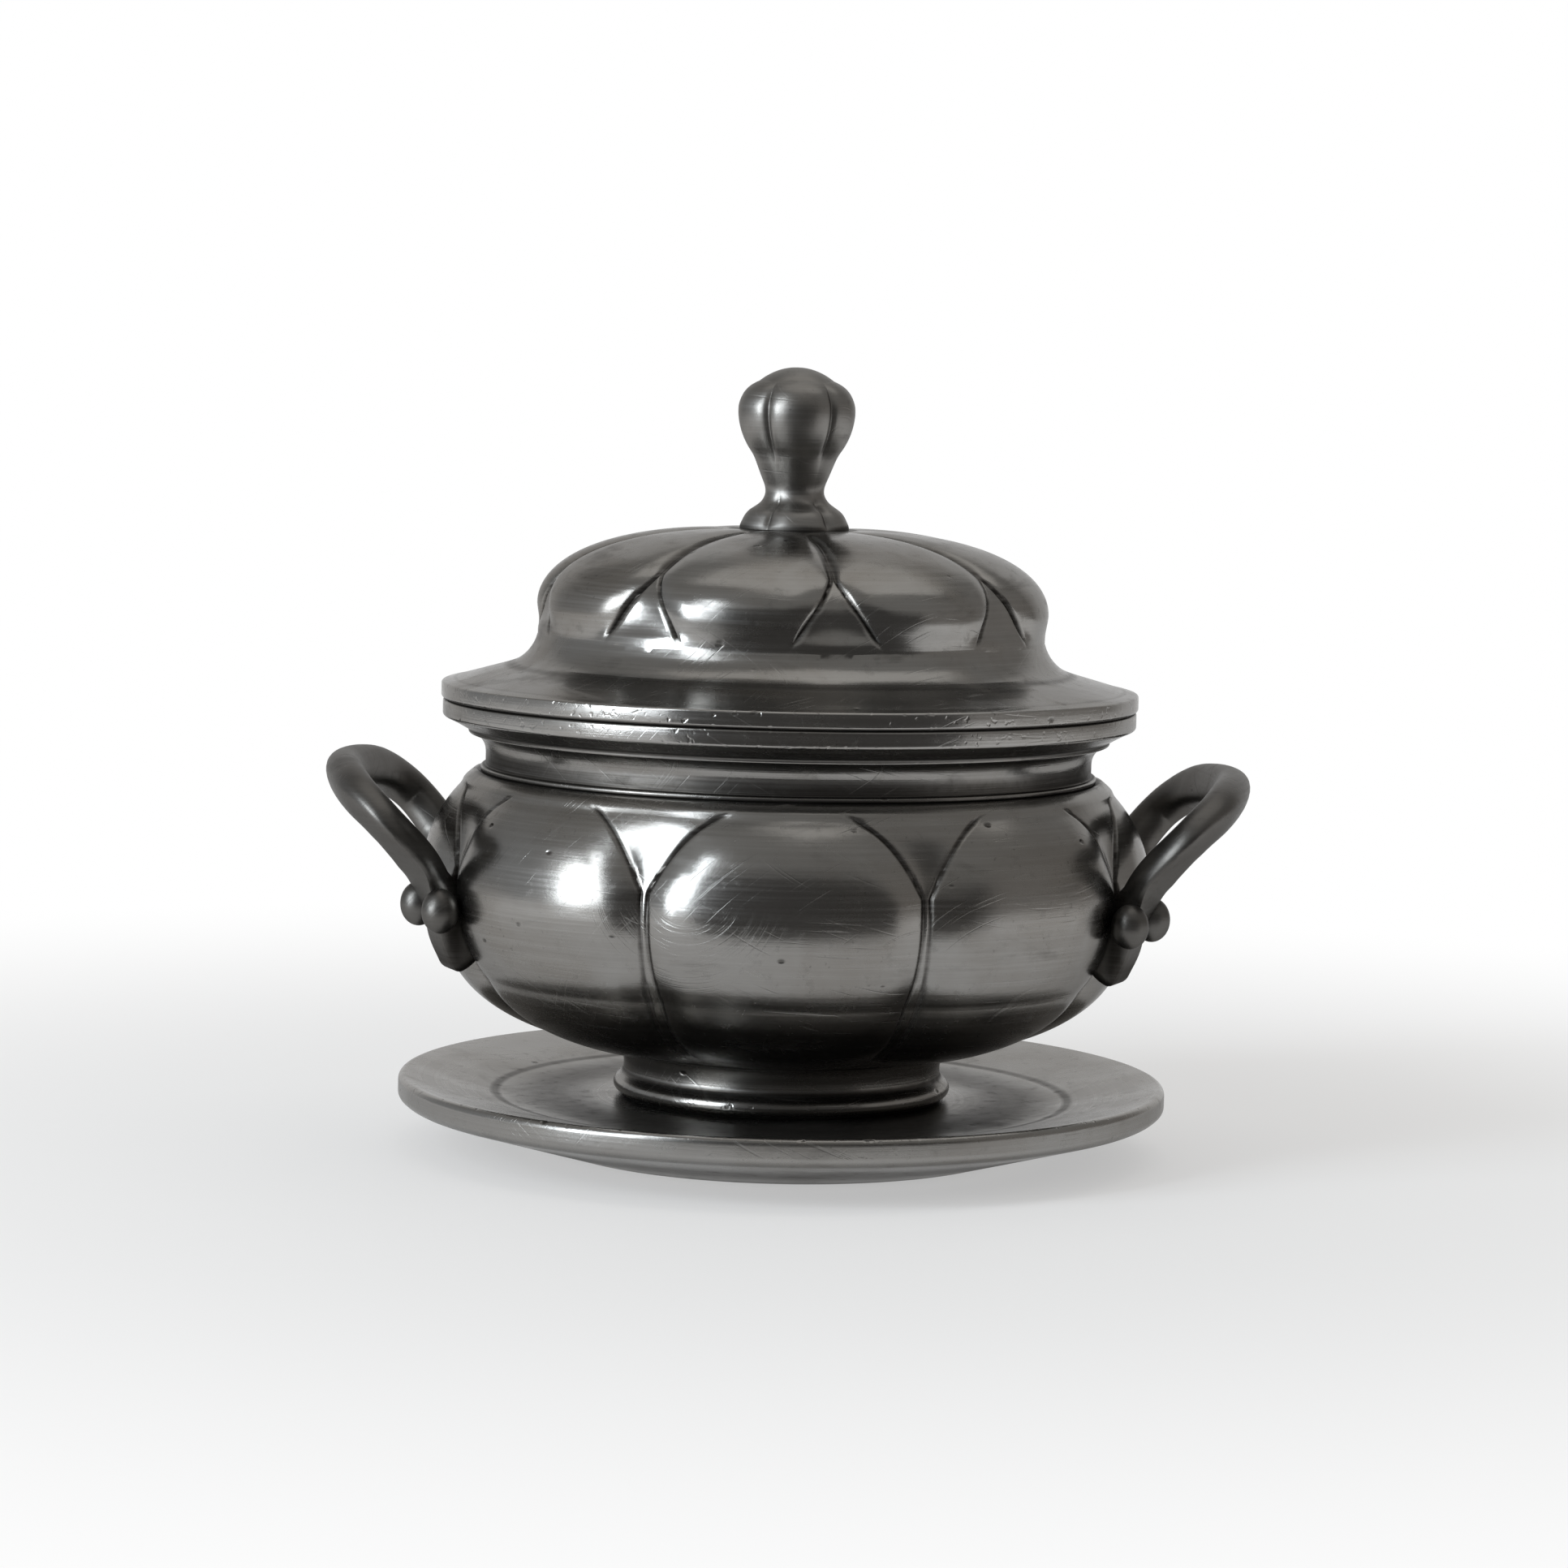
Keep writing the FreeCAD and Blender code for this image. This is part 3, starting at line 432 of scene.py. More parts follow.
def pewter(name, lines="level", lineDepth=0.5, swirls=False, pits=0.6, tarnish=0.5, matt=0.0,
           shade=1.0, grazing=0.55):
    look = metalLook
    ranges, tint, rough = look["range"], look["tint"], look["rough"]
    finish = Finish(bpy.data.materials.new(name))
    place = finish.place()
    x, y, z = finish.parts(place)

    def drawnOut(flat, steep, *noise):
        return finish.noise(finish.vector(x * flat, y * flat, z * steep), *noise)

    if lines == "turned":  # tool marks run round the axis on every slope
        fast, slow, twist = look["turnedLines"]
        radius = (x * x + y * y).root()
        lathed = finish.vector(radius * fast + x * slow, z * fast + y * slow, x * twist - y * twist)
        fine = finish.noise(lathed, *look["turnedNoise"])
    else:  # polished level round the lobes
        fine = drawnOut(*look["levelLines"])
    broad = drawnOut(*look["broadLines"])
    cloud = finish.noise(place, *look["cloud"])
    mottle = finish.noise(place, *look["mottle"])
    dull = finish.spread(cloud, *ranges["dull"])
    speckle = finish.spread(mottle, *ranges["speckle"])
    smear = finish.spread(drawnOut(*look["smears"]), *ranges["smear"])

    cellScale, cellSquash = look["cells"]
    cells = finish.node("ShaderNodeTexVoronoi", {"feature": "F1"}, {
        "Vector": finish.vector(x, y, z * cellSquash), "Scale": cellScale, "Randomness": 1.0})
    cellDraw = finish.parts(Field(finish, cells.outputs["Color"]))[0]
    pit = finish.spread(Field(finish, cells.outputs["Distance"]), *ranges["pit"]) \
        * cellDraw.above(1.0 - look["pitted"] * pits) * finish.spread(cloud, *ranges["pitPatch"])
    crumbs = finish.spread(finish.noise(place, *look["crumbs"]), *ranges["crumbs"]) * dull

    # long shallow scratches in three directions
    along, across = look["scratchRun"]
    patchScale, patchDetail = look["scratchPatch"]
    marks = []
    for tilt, scale in look["scratches"]:
        slanted = finish.vector((x + y) * along, z * along, (z + (x - y) * tilt) * across * scale)
        mark = finish.spread(finish.noise(slanted, *look["scratchNoise"]), *ranges["scratch"])
        patch = finish.noise(place, patchScale * scale, patchDetail)
        marks.append(mark * finish.spread(patch, *ranges["scratchPatch"]))
    scratch = sum(marks + ([swirlMarks(finish, x, y, z)] if swirls else []))

    # the grime attribute darkens towards patina: dirt in corners, creases and joints, and painted
    # shade on the plate's well and underside, the collar's cove and the lid's valleys
    least, more = look["grimeMottle"]
    grimeAndShade = finish.spread(finish.attribute("grimeAndShade") * (least + more * mottle), *ranges["grimeAndShade"])
    wearField = finish.attribute("wear")
    wear = (wearField * (look["wearCloud"] + cloud)).clamp()
    nick = finish.spread(finish.noise(place, *look["nicks"]), *ranges["nick"])

    least, more = look["warmShare"]
    colour = finish.mixed(finish.spread(cloud, *ranges["warm"]) * (least + more * tarnish),
                          look["clean"], look["warm"])
    for share, towards in (
            (speckle * tint["speckle"] * tarnish, "patinaAndShade"),
            (smear * tint["smear"] * tarnish, "patinaAndShade"),
            (scratch * tint["scratch"], "worn"), (wear * tint["wear"], "worn"),
            (pit * tint["pit"] + crumbs * tint["crumbs"], "patinaAndShade"),
            (grimeAndShade * tint["grimeAndShade"], "patinaAndShade")):
        colour = finish.mixed(share.clamp(), colour, look[towards])
    crestFrom, crestShare = look["crest"]  # the crests of the lines are rubbed bright
    colour = finish.mixed((fine - crestFrom).clamp() * crestShare, colour, look["worn"])
    # shade below 1 mixes the whole colour towards the dark patina: painted shade, a darker copy of the
    # same pewter
    if shade < 1:
        colour = finish.mixed(1.0 - shade, colour, look["patinaAndShade"])
    roughness = look["roughness"] + matt + sum(mark * rough[kind] for kind, mark in (
        ("dull", dull * tarnish), ("lines", fine - 0.5), ("speckle", speckle), ("smear", smear),
        ("scratch", scratch), ("grimeAndShade", grimeAndShade), ("wear", wear)))
    height = sum(mark * look["relief"][kind] for kind, mark in (
        ("lines", (fine - 0.5) * lineDepth), ("broad", broad - 0.5), ("mottle", mottle - 0.5),
        ("cloud", cloud - 0.5), ("pit", pit), ("scratch", scratch), ("nick", wearField * nick)))
    return finish.metal(colour, roughness.clamp(), height, *look["bump"], grazing)


steelLook = {
    "bare": (0.42, 0.42, 0.41), "rust": (0.19, 0.15, 0.11), "rustShare": 0.5,
    "grain": (900, 4000, 1.0, 3.0), "rustNoise": (700.0, 4.0), "rustRange": (0.55, 0.7),
    "roughness": (0.30, 0.12, 0.2), "bump": (0.4, 0.00003),
}


def steel():
    finish = Finish(bpy.data.materials.new("fixingSteel"))
    place = finish.place()
    x, y, z = finish.parts(place)
    flat, steep, *noise = steelLook["grain"]
    grain = finish.noise(finish.vector(x * flat, y * flat, z * steep), *noise)
    rust = finish.spread(finish.noise(place, *steelLook["rustNoise"]), *steelLook["rustRange"])
    colour = finish.mixed(
        (rust * steelLook["rustShare"]).clamp(), steelLook["bare"], steelLook["rust"])
    plain, byGrain, byRust = steelLook["roughness"]
    return finish.metal(colour, plain + grain * byGrain + rust * byRust, grain, *steelLook["bump"])


lobeMetal = pewter("lobeMetal", "level", 0.3, swirls=True)
lidMetal = pewter("lidMetal", "level", 0.45, tarnish=0.8, pits=0.9)
turnedMetal = pewter("turnedMetal", "turned", 0.8, tarnish=0.6)
# plate, knob and handles take shade below 1: painted shade, darker copies of the one pewter
plateMetal = pewter("plateMetal", "turned", 0.6, tarnish=0.5, matt=0.03, shade=0.92, grazing=0.7)
knobMetal = pewter("knobMetal", "level", 0.2, pits=0.4, tarnish=0.5, matt=0.14, shade=0.84)
handleMetal = pewter("handleMetal", "level", 0.2, pits=0.4, tarnish=0.5, matt=0.17, shade=0.37)
steelFinish = steel()
print("materials made")

# corners are (radius, height, rounding, arc); grime and wear are rings, each with its radius, height,
# width and strength; the grime rings hold dirt in corners and joints, and on the plate and collar
# painted shade
plate = {
    "steps": 320,
    "corners": [
        (0, 5.4), (28.5, 5.4, 1.2), (31.5, 0.25, 0.6), (32.0, 0, 0.3), (34.5, 0, 0.7),
        (56.9, 6.4, 1.0), (58.05, 7.4, 0.5), (58.05, 10.0, 0.55), (57.45, 10.6, 0.45),
        (44.6, 8.1, 2.2), (41.6, 7.6, 2.2), (0, 7.6)],
    # the wide rings on the well and on the underside, and the line at the well's edge, are painted
    # shade: the well darkened as a painted reflection of the dark bowl above it, the underside for the
    # shaded floor it mirrors, the edge line for the shading of a step
    "grimeAndShade": [
        (25.7, 7.6, 1.2, 1.0), (35.0, 7.6, 8.0, 0.6), (43.4, 7.9, 1.0, 0.6), (57.0, 6.3, 1.0, 0.35),
        (34.0, 0.0, 6.0, 0.6), (46.0, -1.0, 8.0, 0.9), (30.5, 2.5, 3.0, 0.7)],
    "wear": [(57.5, 10.5, 0.5, 1.0), (58.05, 7.4, 0.45, 0.9), (34.5, 0.2, 0.6, 0.8)],
}
turnedPiece("plateTurned", "plate", "underplate", plate, plateMetal)

foot = {
    "steps": 288, "closed": True,
    "corners": [
        (21.0, 0, 0.4), (23.8, 0, 0.5), (25.5, 1.2, 0.75), (25.5, 2.5, 0.75),
        (24.1, 3.7, 0.35, -5.2), (25.0, 7.9, 0.2), (21.0, 7.9, 0.3)],
    "grimeAndShade": [(24.0, 3.8, 0.55, 0.75), (25.0, 7.9, 0.6, 0.9), (23.9, 0, 0.8, 1.0)],
    "wear": [(25.5, 1.9, 0.8, 0.5)],
}
turnedPiece("footTurned", "bowl", "foot_ring", foot, turnedMetal)

# A lobed piece has a lobe facing "direction", in degrees. "columns" is the share of mesh columns on a
# lobe, and the share up to the far side of its border, "band" mm either way. A lobe rolls off by
# "droop" over its "shoulder", and the ground between two lobes is dished by "hollow". A crease is
# "strip" wide, with a line of grooveWidth and grooveDepth at each lobe's border. Ramps are (start,
# length) in height.
bowl = {
    "count": 8, "direction": -90, "offset": 15.0, "strip": (1.1, 1.9), "steps": 448, "rows": 116,
    "columns": (0.64, 0.88), "band": 1.2, "shoulder": 6.2, "droop": 1.15, "hollow": 1.3,
    "grooveWidth": 0.22, "grooveDepth": 0.34, "grimeWidth": 0.42, "lineEnd": (8.5, 13),
    "height": 41.1, "fuller": (1.1, 12), "softUnion": 1.5,
    "lowLine": {"groove": 0.7, "stain": 0.55, "width": 1.35},
    "ramps": {
        "foot": (0.3, 4), "low": (22, -12), "upper": (24, 4), "union": (33, 4), "sink": (39.5, -9)},
    # circles (radius, height, arc) of the belly, the flank under it and the plain core
    "belly": (35.16, 24.96, 19.84), "base": (24.0, 34.5, 34.5), "core": (33.65, 26.35, 19.7),
    "coreFoot": (17, 10.0),
    "lip": [(-0.1, 41.1), (-1.8, 41.1, 0.2)],
    "inside": [(49.9, 31.4, 5), (49.9, 21.4, 6), (26.9, 1.8, 4), (0, 1.8)],
    "grimeAndShade": [(46.6, 41.1, 0.8, 0.7), (25.5, 0.4, 1.2, 0.8)], "wear": [],
}


def bowlRows():
    bellyRadius, bellyHeight, bellyArc = bowl["belly"]
    baseRadius, baseHeight, baseArc = bowl["base"]
    coreRadius, coreHeight, coreArc = bowl["core"]
    joint = math.atan2(bellyHeight - baseHeight, bellyRadius - baseRadius)
    lip = math.asin((bowl["height"] - bellyHeight) / bellyArc)
    baseRun, bellyRun = baseArc * (joint + math.pi / 2), bellyArc * (lip - joint)
    run = np.linspace(0, baseRun + bellyRun, bowl["rows"])
    angle = np.where(run < baseRun, run / baseArc - math.pi / 2, joint + (run - baseRun) / bellyArc)
    onBase = run < baseRun
    height = np.where(
        onBase, baseHeight + baseArc * np.sin(angle), bellyHeight + bellyArc * np.sin(angle))
    reach = np.where(
        onBase, baseRadius + baseArc * np.cos(angle), bellyRadius + bellyArc * np.cos(angle))
    fullest, fullerTop = bowl["fuller"]
    own = reach - bowl["offset"] + fullest * np.sin(np.pi * np.clip(height / fullerTop, 0, 1))
    core = coreRadius + np.sqrt(np.maximum(coreArc**2 - (height - coreHeight)**2, 0))
    coreFrom, coreBelow = bowl["coreFoot"]
    core = np.where(height > coreFrom, core, coreBelow)

    def lobe(phi, place=slice(None)):
        return lobeReach(phi, own[place], bowl["offset"])

    at = {name: ramp(height, *ends) for name, ends in bowl["ramps"].items()}
    wide, wider = bowl["strip"]
    border = borders({"core": core, "lobe": lobe}, bowl["count"], wide + (wider - wide) * at["low"])
    endFrom, endTo = bowl["lineEnd"]
    drawn = ramp(np.degrees(border), endFrom, endTo - endFrom) * at["foot"]
    line = {name: low + (1 - low) * at["upper"] for name, low in bowl["lowLine"].items()}
    return {
        "border": border, "run": run, "core": core, "lobe": lobe, "level": seat["bowl_body"] + height,
        "climb": np.zeros(len(run)), "swell": np.ones(len(run)), "sink": at["sink"] * at["foot"],
        "blend": bowl["softUnion"] * at["union"] * (1 - drawn),
        "groove": drawn * line["groove"], "stain": drawn * line["stain"],
        "grooveWidth": bowl["grooveWidth"] * line["width"],
        "grimeWidth": np.full(len(run), bowl["grimeWidth"]),
    }


rows = bowlRows()
level = seat["bowl_body"]
lip = [(rows["core"][-1] + inset, *rest) for inset, *rest in bowl["lip"]]
outside = np.stack([rows["lobe"](0.0), rows["level"]], 1)
inside = spread(outline(raised(lip + bowl["inside"], level)), gap=1.5)
lobedPiece("bowlLobes", "bowl", "bowl_body", ([(0, level)], outside, inside), rows, bowl, lobeMetal)

collar = {
    "steps": 320, "closed": True,
    "corners": [
        (44.0, 0, 0.1), (46.4, 0, 0.3), (46.4, 0.8, 0.35), (45.65, 0.8, 0.3),
        (45.65, 2.9, 0.4, -3.2), (47.6, 5.7, 0.3), (48.3, 5.7, 0.3), (48.3, 6.3, 0.3),
        (50.6, 7.6, 1.0), (52.2, 8.3, 0.4), (52.2, 10.5, 0.2), (51.85, 10.85, 0.2),
        (44.35, 10.85, 0.2), (44.0, 10.5, 0.2)],
    # the wide ring in the cove is painted shade, darkening the neck; the narrow rings are dirt in
    # corners and in the joint
    "grimeAndShade": [
        (46.5, 0, 0.5, 1.0), (45.7, 0.9, 0.5, 0.9), (45.4, 2.2, 1.6, 0.55),
        (47.7, 5.7, 0.4, 0.8), (48.4, 6.35, 0.45, 0.8), (51.9, 10.85, 0.35, 0.9)],
    "wear": [(46.4, 0.5, 0.3, 0.15), (52.2, 8.3, 0.45, 0.8), (52.1, 10.4, 0.35, 0.5)],
}
turnedPiece("collarTurned", "bowl", "bowl_collar", collar, turnedMetal)

# the ramps of swell, sink and drawn start above the waist, that of the valley above the fork where
# two creases part; crownRamp runs outwards from the knob's seat
lid = {
    "count": 8, "direction": -90 - 12.5, "offset": 11.0, "strip": 0.7, "steps": 416,
    "columns": (0.64, 0.88), "band": 1.15, "shoulder": 4.2, "droop": 0.85, "hollow": 0.9,
    # the grime line's wider width in the valleys above the fork is painted shade along each valley
    "grooveWidth": (0.27, 0.75), "grooveDepth": 0.45, "grimeWidth": (0.42, 1.0), "fuller": 0.016,
    "waist": 9.85, "spring": 14.15, "top": 26.15, "own": (27.45, 27.75),
    "sideRows": 11, "climbs": ((0, 50, 66), (50, 88, 30)),
    "drum": 38.15, "crownEdge": 8.9, "fork": 21.25, "flare": 1.15, "gapAngle": 10.8,
    "ramps": {"swell": (0, 4.0), "sink": (0, 5), "drawn": (0.1, 2.2)},
    "valleyRamp": (-1.0, 2.5), "crownRamp": (9.5, 8), "valleyStain": 0.3,
    "under": [
        (0, 24.35), (8.9, 24.35, 2), (30.4, 19.45, 5), (36.2, 14.15, 2), (36.2, 8.05, 1),
        (41.4, 2.2, 0.5), (41.4, 0.05)],
    "skirt": [
        (41.4, 0), (52.1, 0, 0.2), (52.45, 0.35, 0.2), (52.45, 2.45, 0.35), (50.6, 2.85, 0.5),
        (42.6, 5.1, 1.4, -6.5), (38.2, 9.7)],
    "grimeAndShade": [
        (8.6, 26.1, 1.3, 1.0), (50.4, 2.9, 0.5, 0.3), (42.4, 5.2, 1.2, 0.45), (52.2, 0.05, 0.35, 0.9)],
    "wear": [(52.45, 2.3, 0.4, 1.0), (52.4, 0.4, 0.35, 0.8)],
}


def lidRows():
    rise = lid["top"] - lid["spring"]
    side = np.linspace(lid["waist"], lid["spring"], lid["sideRows"])[:-1]
    low, high = (np.linspace(*climb) for climb in lid["climbs"])
    climbs = np.concatenate([low, high[1:]]) * math.pi / 180
    height = np.concatenate([side, np.full(len(climbs), lid["spring"])])
    climb = np.concatenate([np.zeros(len(side)), climbs])
    own = np.concatenate([
        np.interp(side, [lid["waist"], lid["spring"]], lid["own"]),
        np.full(len(climbs), lid["own"][1])])
    flat = rise / np.sin(np.maximum(climb, 0.01))
    core = np.where(
        climb > 0, np.where(flat * np.cos(climb) < lid["crownEdge"], flat, 1.0), lid["drum"])

    straight = lobeReach(0.0, own, lid["offset"], climb, rise)
    swelling = np.sin(2 * np.arcsin(np.clip(straight * np.sin(climb) / rise, 0, 1)))**2
    fuller = 1 + lid["fuller"] * swelling

    def lobe(phi, place=slice(None)):
        return lobeReach(phi, own[place], lid["offset"], climb[place], rise) * fuller[place]

    reach = np.maximum(lobe(0.0), core)
    wire = np.stack([reach * np.cos(climb), height + reach * np.sin(climb)], 1)
    radius, above = wire.T
    opening = np.clip((lid["fork"] - above) / (lid["fork"] - lid["waist"]), 0, 1)**lid["flare"]
    gap = np.maximum(math.radians(lid["gapAngle"]) * opening, lid["strip"] / 2 / np.maximum(reach, 2))
    at = {name: ramp(above - lid["waist"], *ends) for name, ends in lid["ramps"].items()}
    valley = ramp(above - lid["fork"], *lid["valleyRamp"])
    drawn = at["drawn"] * ramp(radius, *lid["crownRamp"])
    # groove and grime lines widen in the valleys; the wider grime line is painted shade
    widths = {name: lid[name][0] + (lid[name][1] - lid[name][0]) * valley
              for name in ("grooveWidth", "grimeWidth")}
    return {
        "border": math.pi / lid["count"] - gap, "run": runAlong(wire), "core": core, "lobe": lobe,
        "level": seat["lid_dome"] + height, "climb": climb, "blend": np.zeros(len(wire)),
        "swell": at["swell"], "sink": drawn * at["sink"], "groove": drawn,
        "stain": drawn * (1 - lid["valleyStain"] * valley), **widths,
        "wire": raised(wire, seat["lid_dome"]),
    }


rows = lidRows()
level = seat["lid_dome"]
under = spread(outline(raised(lid["under"], level)), gap=1.6)
skirt = spread(outline(raised(lid["skirt"], level)), gap=0.9)
wires = np.concatenate([under, skirt]), rows["wire"], [(0, level + lid["top"])]
lobedPiece("lidLobes", "lid", "lid_dome", wires, rows, lid, lidMetal)

bezel = {
    "steps": 192, "closed": True,
    "corners": [(42.3, 0, 0.2), (43.1, 0, 0.2), (43.5, 0.4, 0.2), (43.5, 6.0), (42.3, 6.0)],
    "grimeAndShade": [(43.5, 6.0, 0.8, 1.0)],
    "wear": [(43.4, 0.3, 0.5, 0.8)],
}
turnedPiece("bezelTurned", "lid", "lid_bezel", bezel, turnedMetal)

knob = {
    "count": 5, "direction": -85, "offset": 2.45, "strip": 0.12, "steps": 240,
    "columns": (0.60, 0.86), "band": 0.8, "shoulder": 1.5, "droop": 0.22, "hollow": 0,
    "grooveWidth": 0.42, "grooveDepth": 0.10, "grimeWidth": 0.5,
    "corners": [
        (8.35, 0), (8.35, 0.5, 0.4), (7.4, 2.5, 0.9), (5.0, 4.1, 1.0), (4.2, 5.7, 1.3),
        (6.4, 11.0, 1.0, 10.8), (8.93, 17.7, 0.6, 4.6), (5.2, 22.2)],
    "capRadius": 8.4, "capTurn": (52, 4, 26), "height": 24.2,
    "heights": ((0, 2.5, 8), (2.5, 6.5, 14), (6.5, 20.0, 36)), "capStart": (20.0, 4),
    "stem": ((0, 3.6), (8.0, 3.7), (19.4, 7.6)), "lobeTop": (22.2, 2.75, 2.2),
    "plainNeck": 0.75, "softUnion": 0.5, "footLine": 0.8, "stain": 0.30,
    "ramps": {
        "neck": (3.6, 2), "flare": (13, -6), "line": (9.5, 5), "arch": (22.0, -3),
        "foot": (0, 1.2), "instep": (4.5, -2), "union": (19, 2)},
    "grimeAndShade": [(8.4, 0, 0.7, 1.0)], "wear": [],
}


def knobRows():
    side = outline(knob["corners"])
    capCentre = knob["height"] - knob["capRadius"]
    cap = capCentre + knob["capRadius"] * np.cos(np.radians(np.linspace(*knob["capTurn"])))
    capFrom, capRows = knob["capStart"]
    spans = (*knob["heights"], (capFrom, cap[0], capRows))
    height = np.concatenate([*(np.linspace(*span)[:-1] for span in spans), cap])
    own = np.maximum(np.interp(height, side[:, 1], side[:, 0], right=0) - knob["offset"], 0.02)
    lobeTop, topOwn, topFall = knob["lobeTop"]
    own = np.where(height > lobeTop, np.maximum(topOwn - (height - lobeTop) * topFall, 0), own)
    stemHeights, stemRadii = zip(*knob["stem"])
    ball = np.sqrt(np.maximum(knob["capRadius"]**2 - (height - capCentre)**2, 0))
    core = np.where(height > stemHeights[-1], ball, np.interp(height, stemHeights, stemRadii))
    at = {name: ramp(height, *ends) for name, ends in knob["ramps"].items()}
    plain = knob["plainNeck"] * at["neck"] * at["flare"]

    def lobe(phi, place=slice(None)):
        phi = phi * (1 - plain[place])
        inside = own[place]**2 - (knob["offset"] * np.sin(phi))**2
        return np.where(inside > 0, knob["offset"] * np.cos(phi) + np.sqrt(np.maximum(inside, 0)), 0)

    reach = np.maximum(lobe(0.0), core)
    wire = np.stack([reach, height], 1)
    upper, low = at["line"] * at["arch"], at["foot"] * at["instep"]
    groove = np.maximum(upper, low * knob["footLine"])
    flat = np.ones(len(height))
    return {
        "border": borders({"core": core, "lobe": lobe}, knob["count"], knob["strip"]),
        "run": runAlong(wire), "core": core, "lobe": lobe, "level": seat["knob"] + height,
        "climb": flat * 0, "swell": flat, "blend": knob["softUnion"] * at["union"],
        "sink": np.minimum(groove * 2, 1), "groove": groove,
        "stain": np.maximum(upper, low) * knob["stain"],
        "grooveWidth": flat * knob["grooveWidth"], "grimeWidth": flat * knob["grimeWidth"],
        "wire": raised(wire, seat["knob"]),
    }


rows = knobRows()
level = seat["knob"]
wires = [(0, level)], rows["wire"], [(0, level + knob["height"])]
lobedPiece("knobCast", "lid", "knob", wires, rows, knob, knobMetal, sharp=60)

# section and apex give half the strap's outline, across and inwards, as shares of width and depth;
# the loop's stations are (out from the crease, aside, height) above the bowl's underside
handle = {
    "width": 7.1, "apexWidth": 6.0, "depth": 4.7, "rootDepth": 6.2, "standOff": 3.5,
    "tail": (13.2, 0.3), "footHeights": (15.6, 18.2, 22.2), "leave": (26.5, 2.8),
    "loop": ((5.0, 23.6, 30.6), (9.6, 24.6, 35.5), (14.1, 18.0, 38.9), (17.1, 0, 40.2)),
    "lean": 42, "turnOut": 28, "perSpan": 9, "blunt": 1.9, "bluntWidth": 0.35, "bluntMiddle": 0.30,
    "section": [(0, 0), (0.5, 0, 0.12), (0.5, 0.42, 0.2), (0.27, 0.95, 0.28), (0, 1, 0.1)],
    "apexHalf": (0.56, 0.60), "apexMiddle": 0.50, "apexPower": 2.3, "apexOut": 0.24,
    "apexRamp": (0.7, 2.4), "halfPoints": 18,
    "ball": (2.75, 3.3), "ballHeight": 22.2, "ballOff": 3.3, "ballAside": 5.05, "ballMesh": (36, 24),
    "grimeAndShade": (54.0, 2.2, 27, 0.9), "wear": (62, 8, 0.5),
}


def creaseRadius(height):
    bellyRadius, bellyHeight, bellyArc = bowl["belly"]
    baseRadius, baseHeight, baseArc = bowl["base"]
    if height > baseHeight + (bellyHeight - baseHeight) * baseArc / (baseArc - bellyArc):
        own = bellyRadius - bowl["offset"] + math.sqrt(bellyArc**2 - (height - bellyHeight)**2)
    else:
        own = baseRadius - bowl["offset"] + math.sqrt(baseArc**2 - (baseHeight - height)**2)
    return float(lobeReach(math.pi / bowl["count"], own, bowl["offset"]))


def smoothThrough(points, perSpan):
    # Catmull-Rom through the points
    points = np.array(points, float)
    ends = np.concatenate([[2 * points[0] - points[1]], points, [2 * points[-1] - points[-2]]])
    line = []
    for i in range(len(points) - 1):
        a, b, c, d = ends[i:i + 4]
        for t in np.arange(perSpan) / perSpan:
            line.append(0.5 * (2 * b + (c - a) * t + (2 * a - 5 * b + 4 * c - d) * t * t
                               + (3 * b - a - 3 * c + d) * t**3))
    return np.array([*line, points[-1]])


def unit(vectors):
    return vectors / np.linalg.norm(vectors, axis=-1, keepdims=True)


def strapSections():
    # the strap's plain section and its rounder one at the apex, each as a closed ring of points
    turn = np.linspace(-math.pi / 2, math.pi / 2, 60)
    across, inwards = (np.copysign(np.abs(f(turn))**(2 / handle["apexPower"]), f(turn))
                       for f in (np.cos, np.sin))
    halfWide, halfDeep = handle["apexHalf"]
    apex = np.stack([halfWide * across, handle["apexMiddle"] + halfDeep * inwards], 1)
    halves = [evenly(side, handle["halfPoints"])
              for side in (outline(handle["section"], segments=8), apex)]
    return [np.concatenate([side, (side * (-1, 1))[-2:0:-1]]) for side in halves]


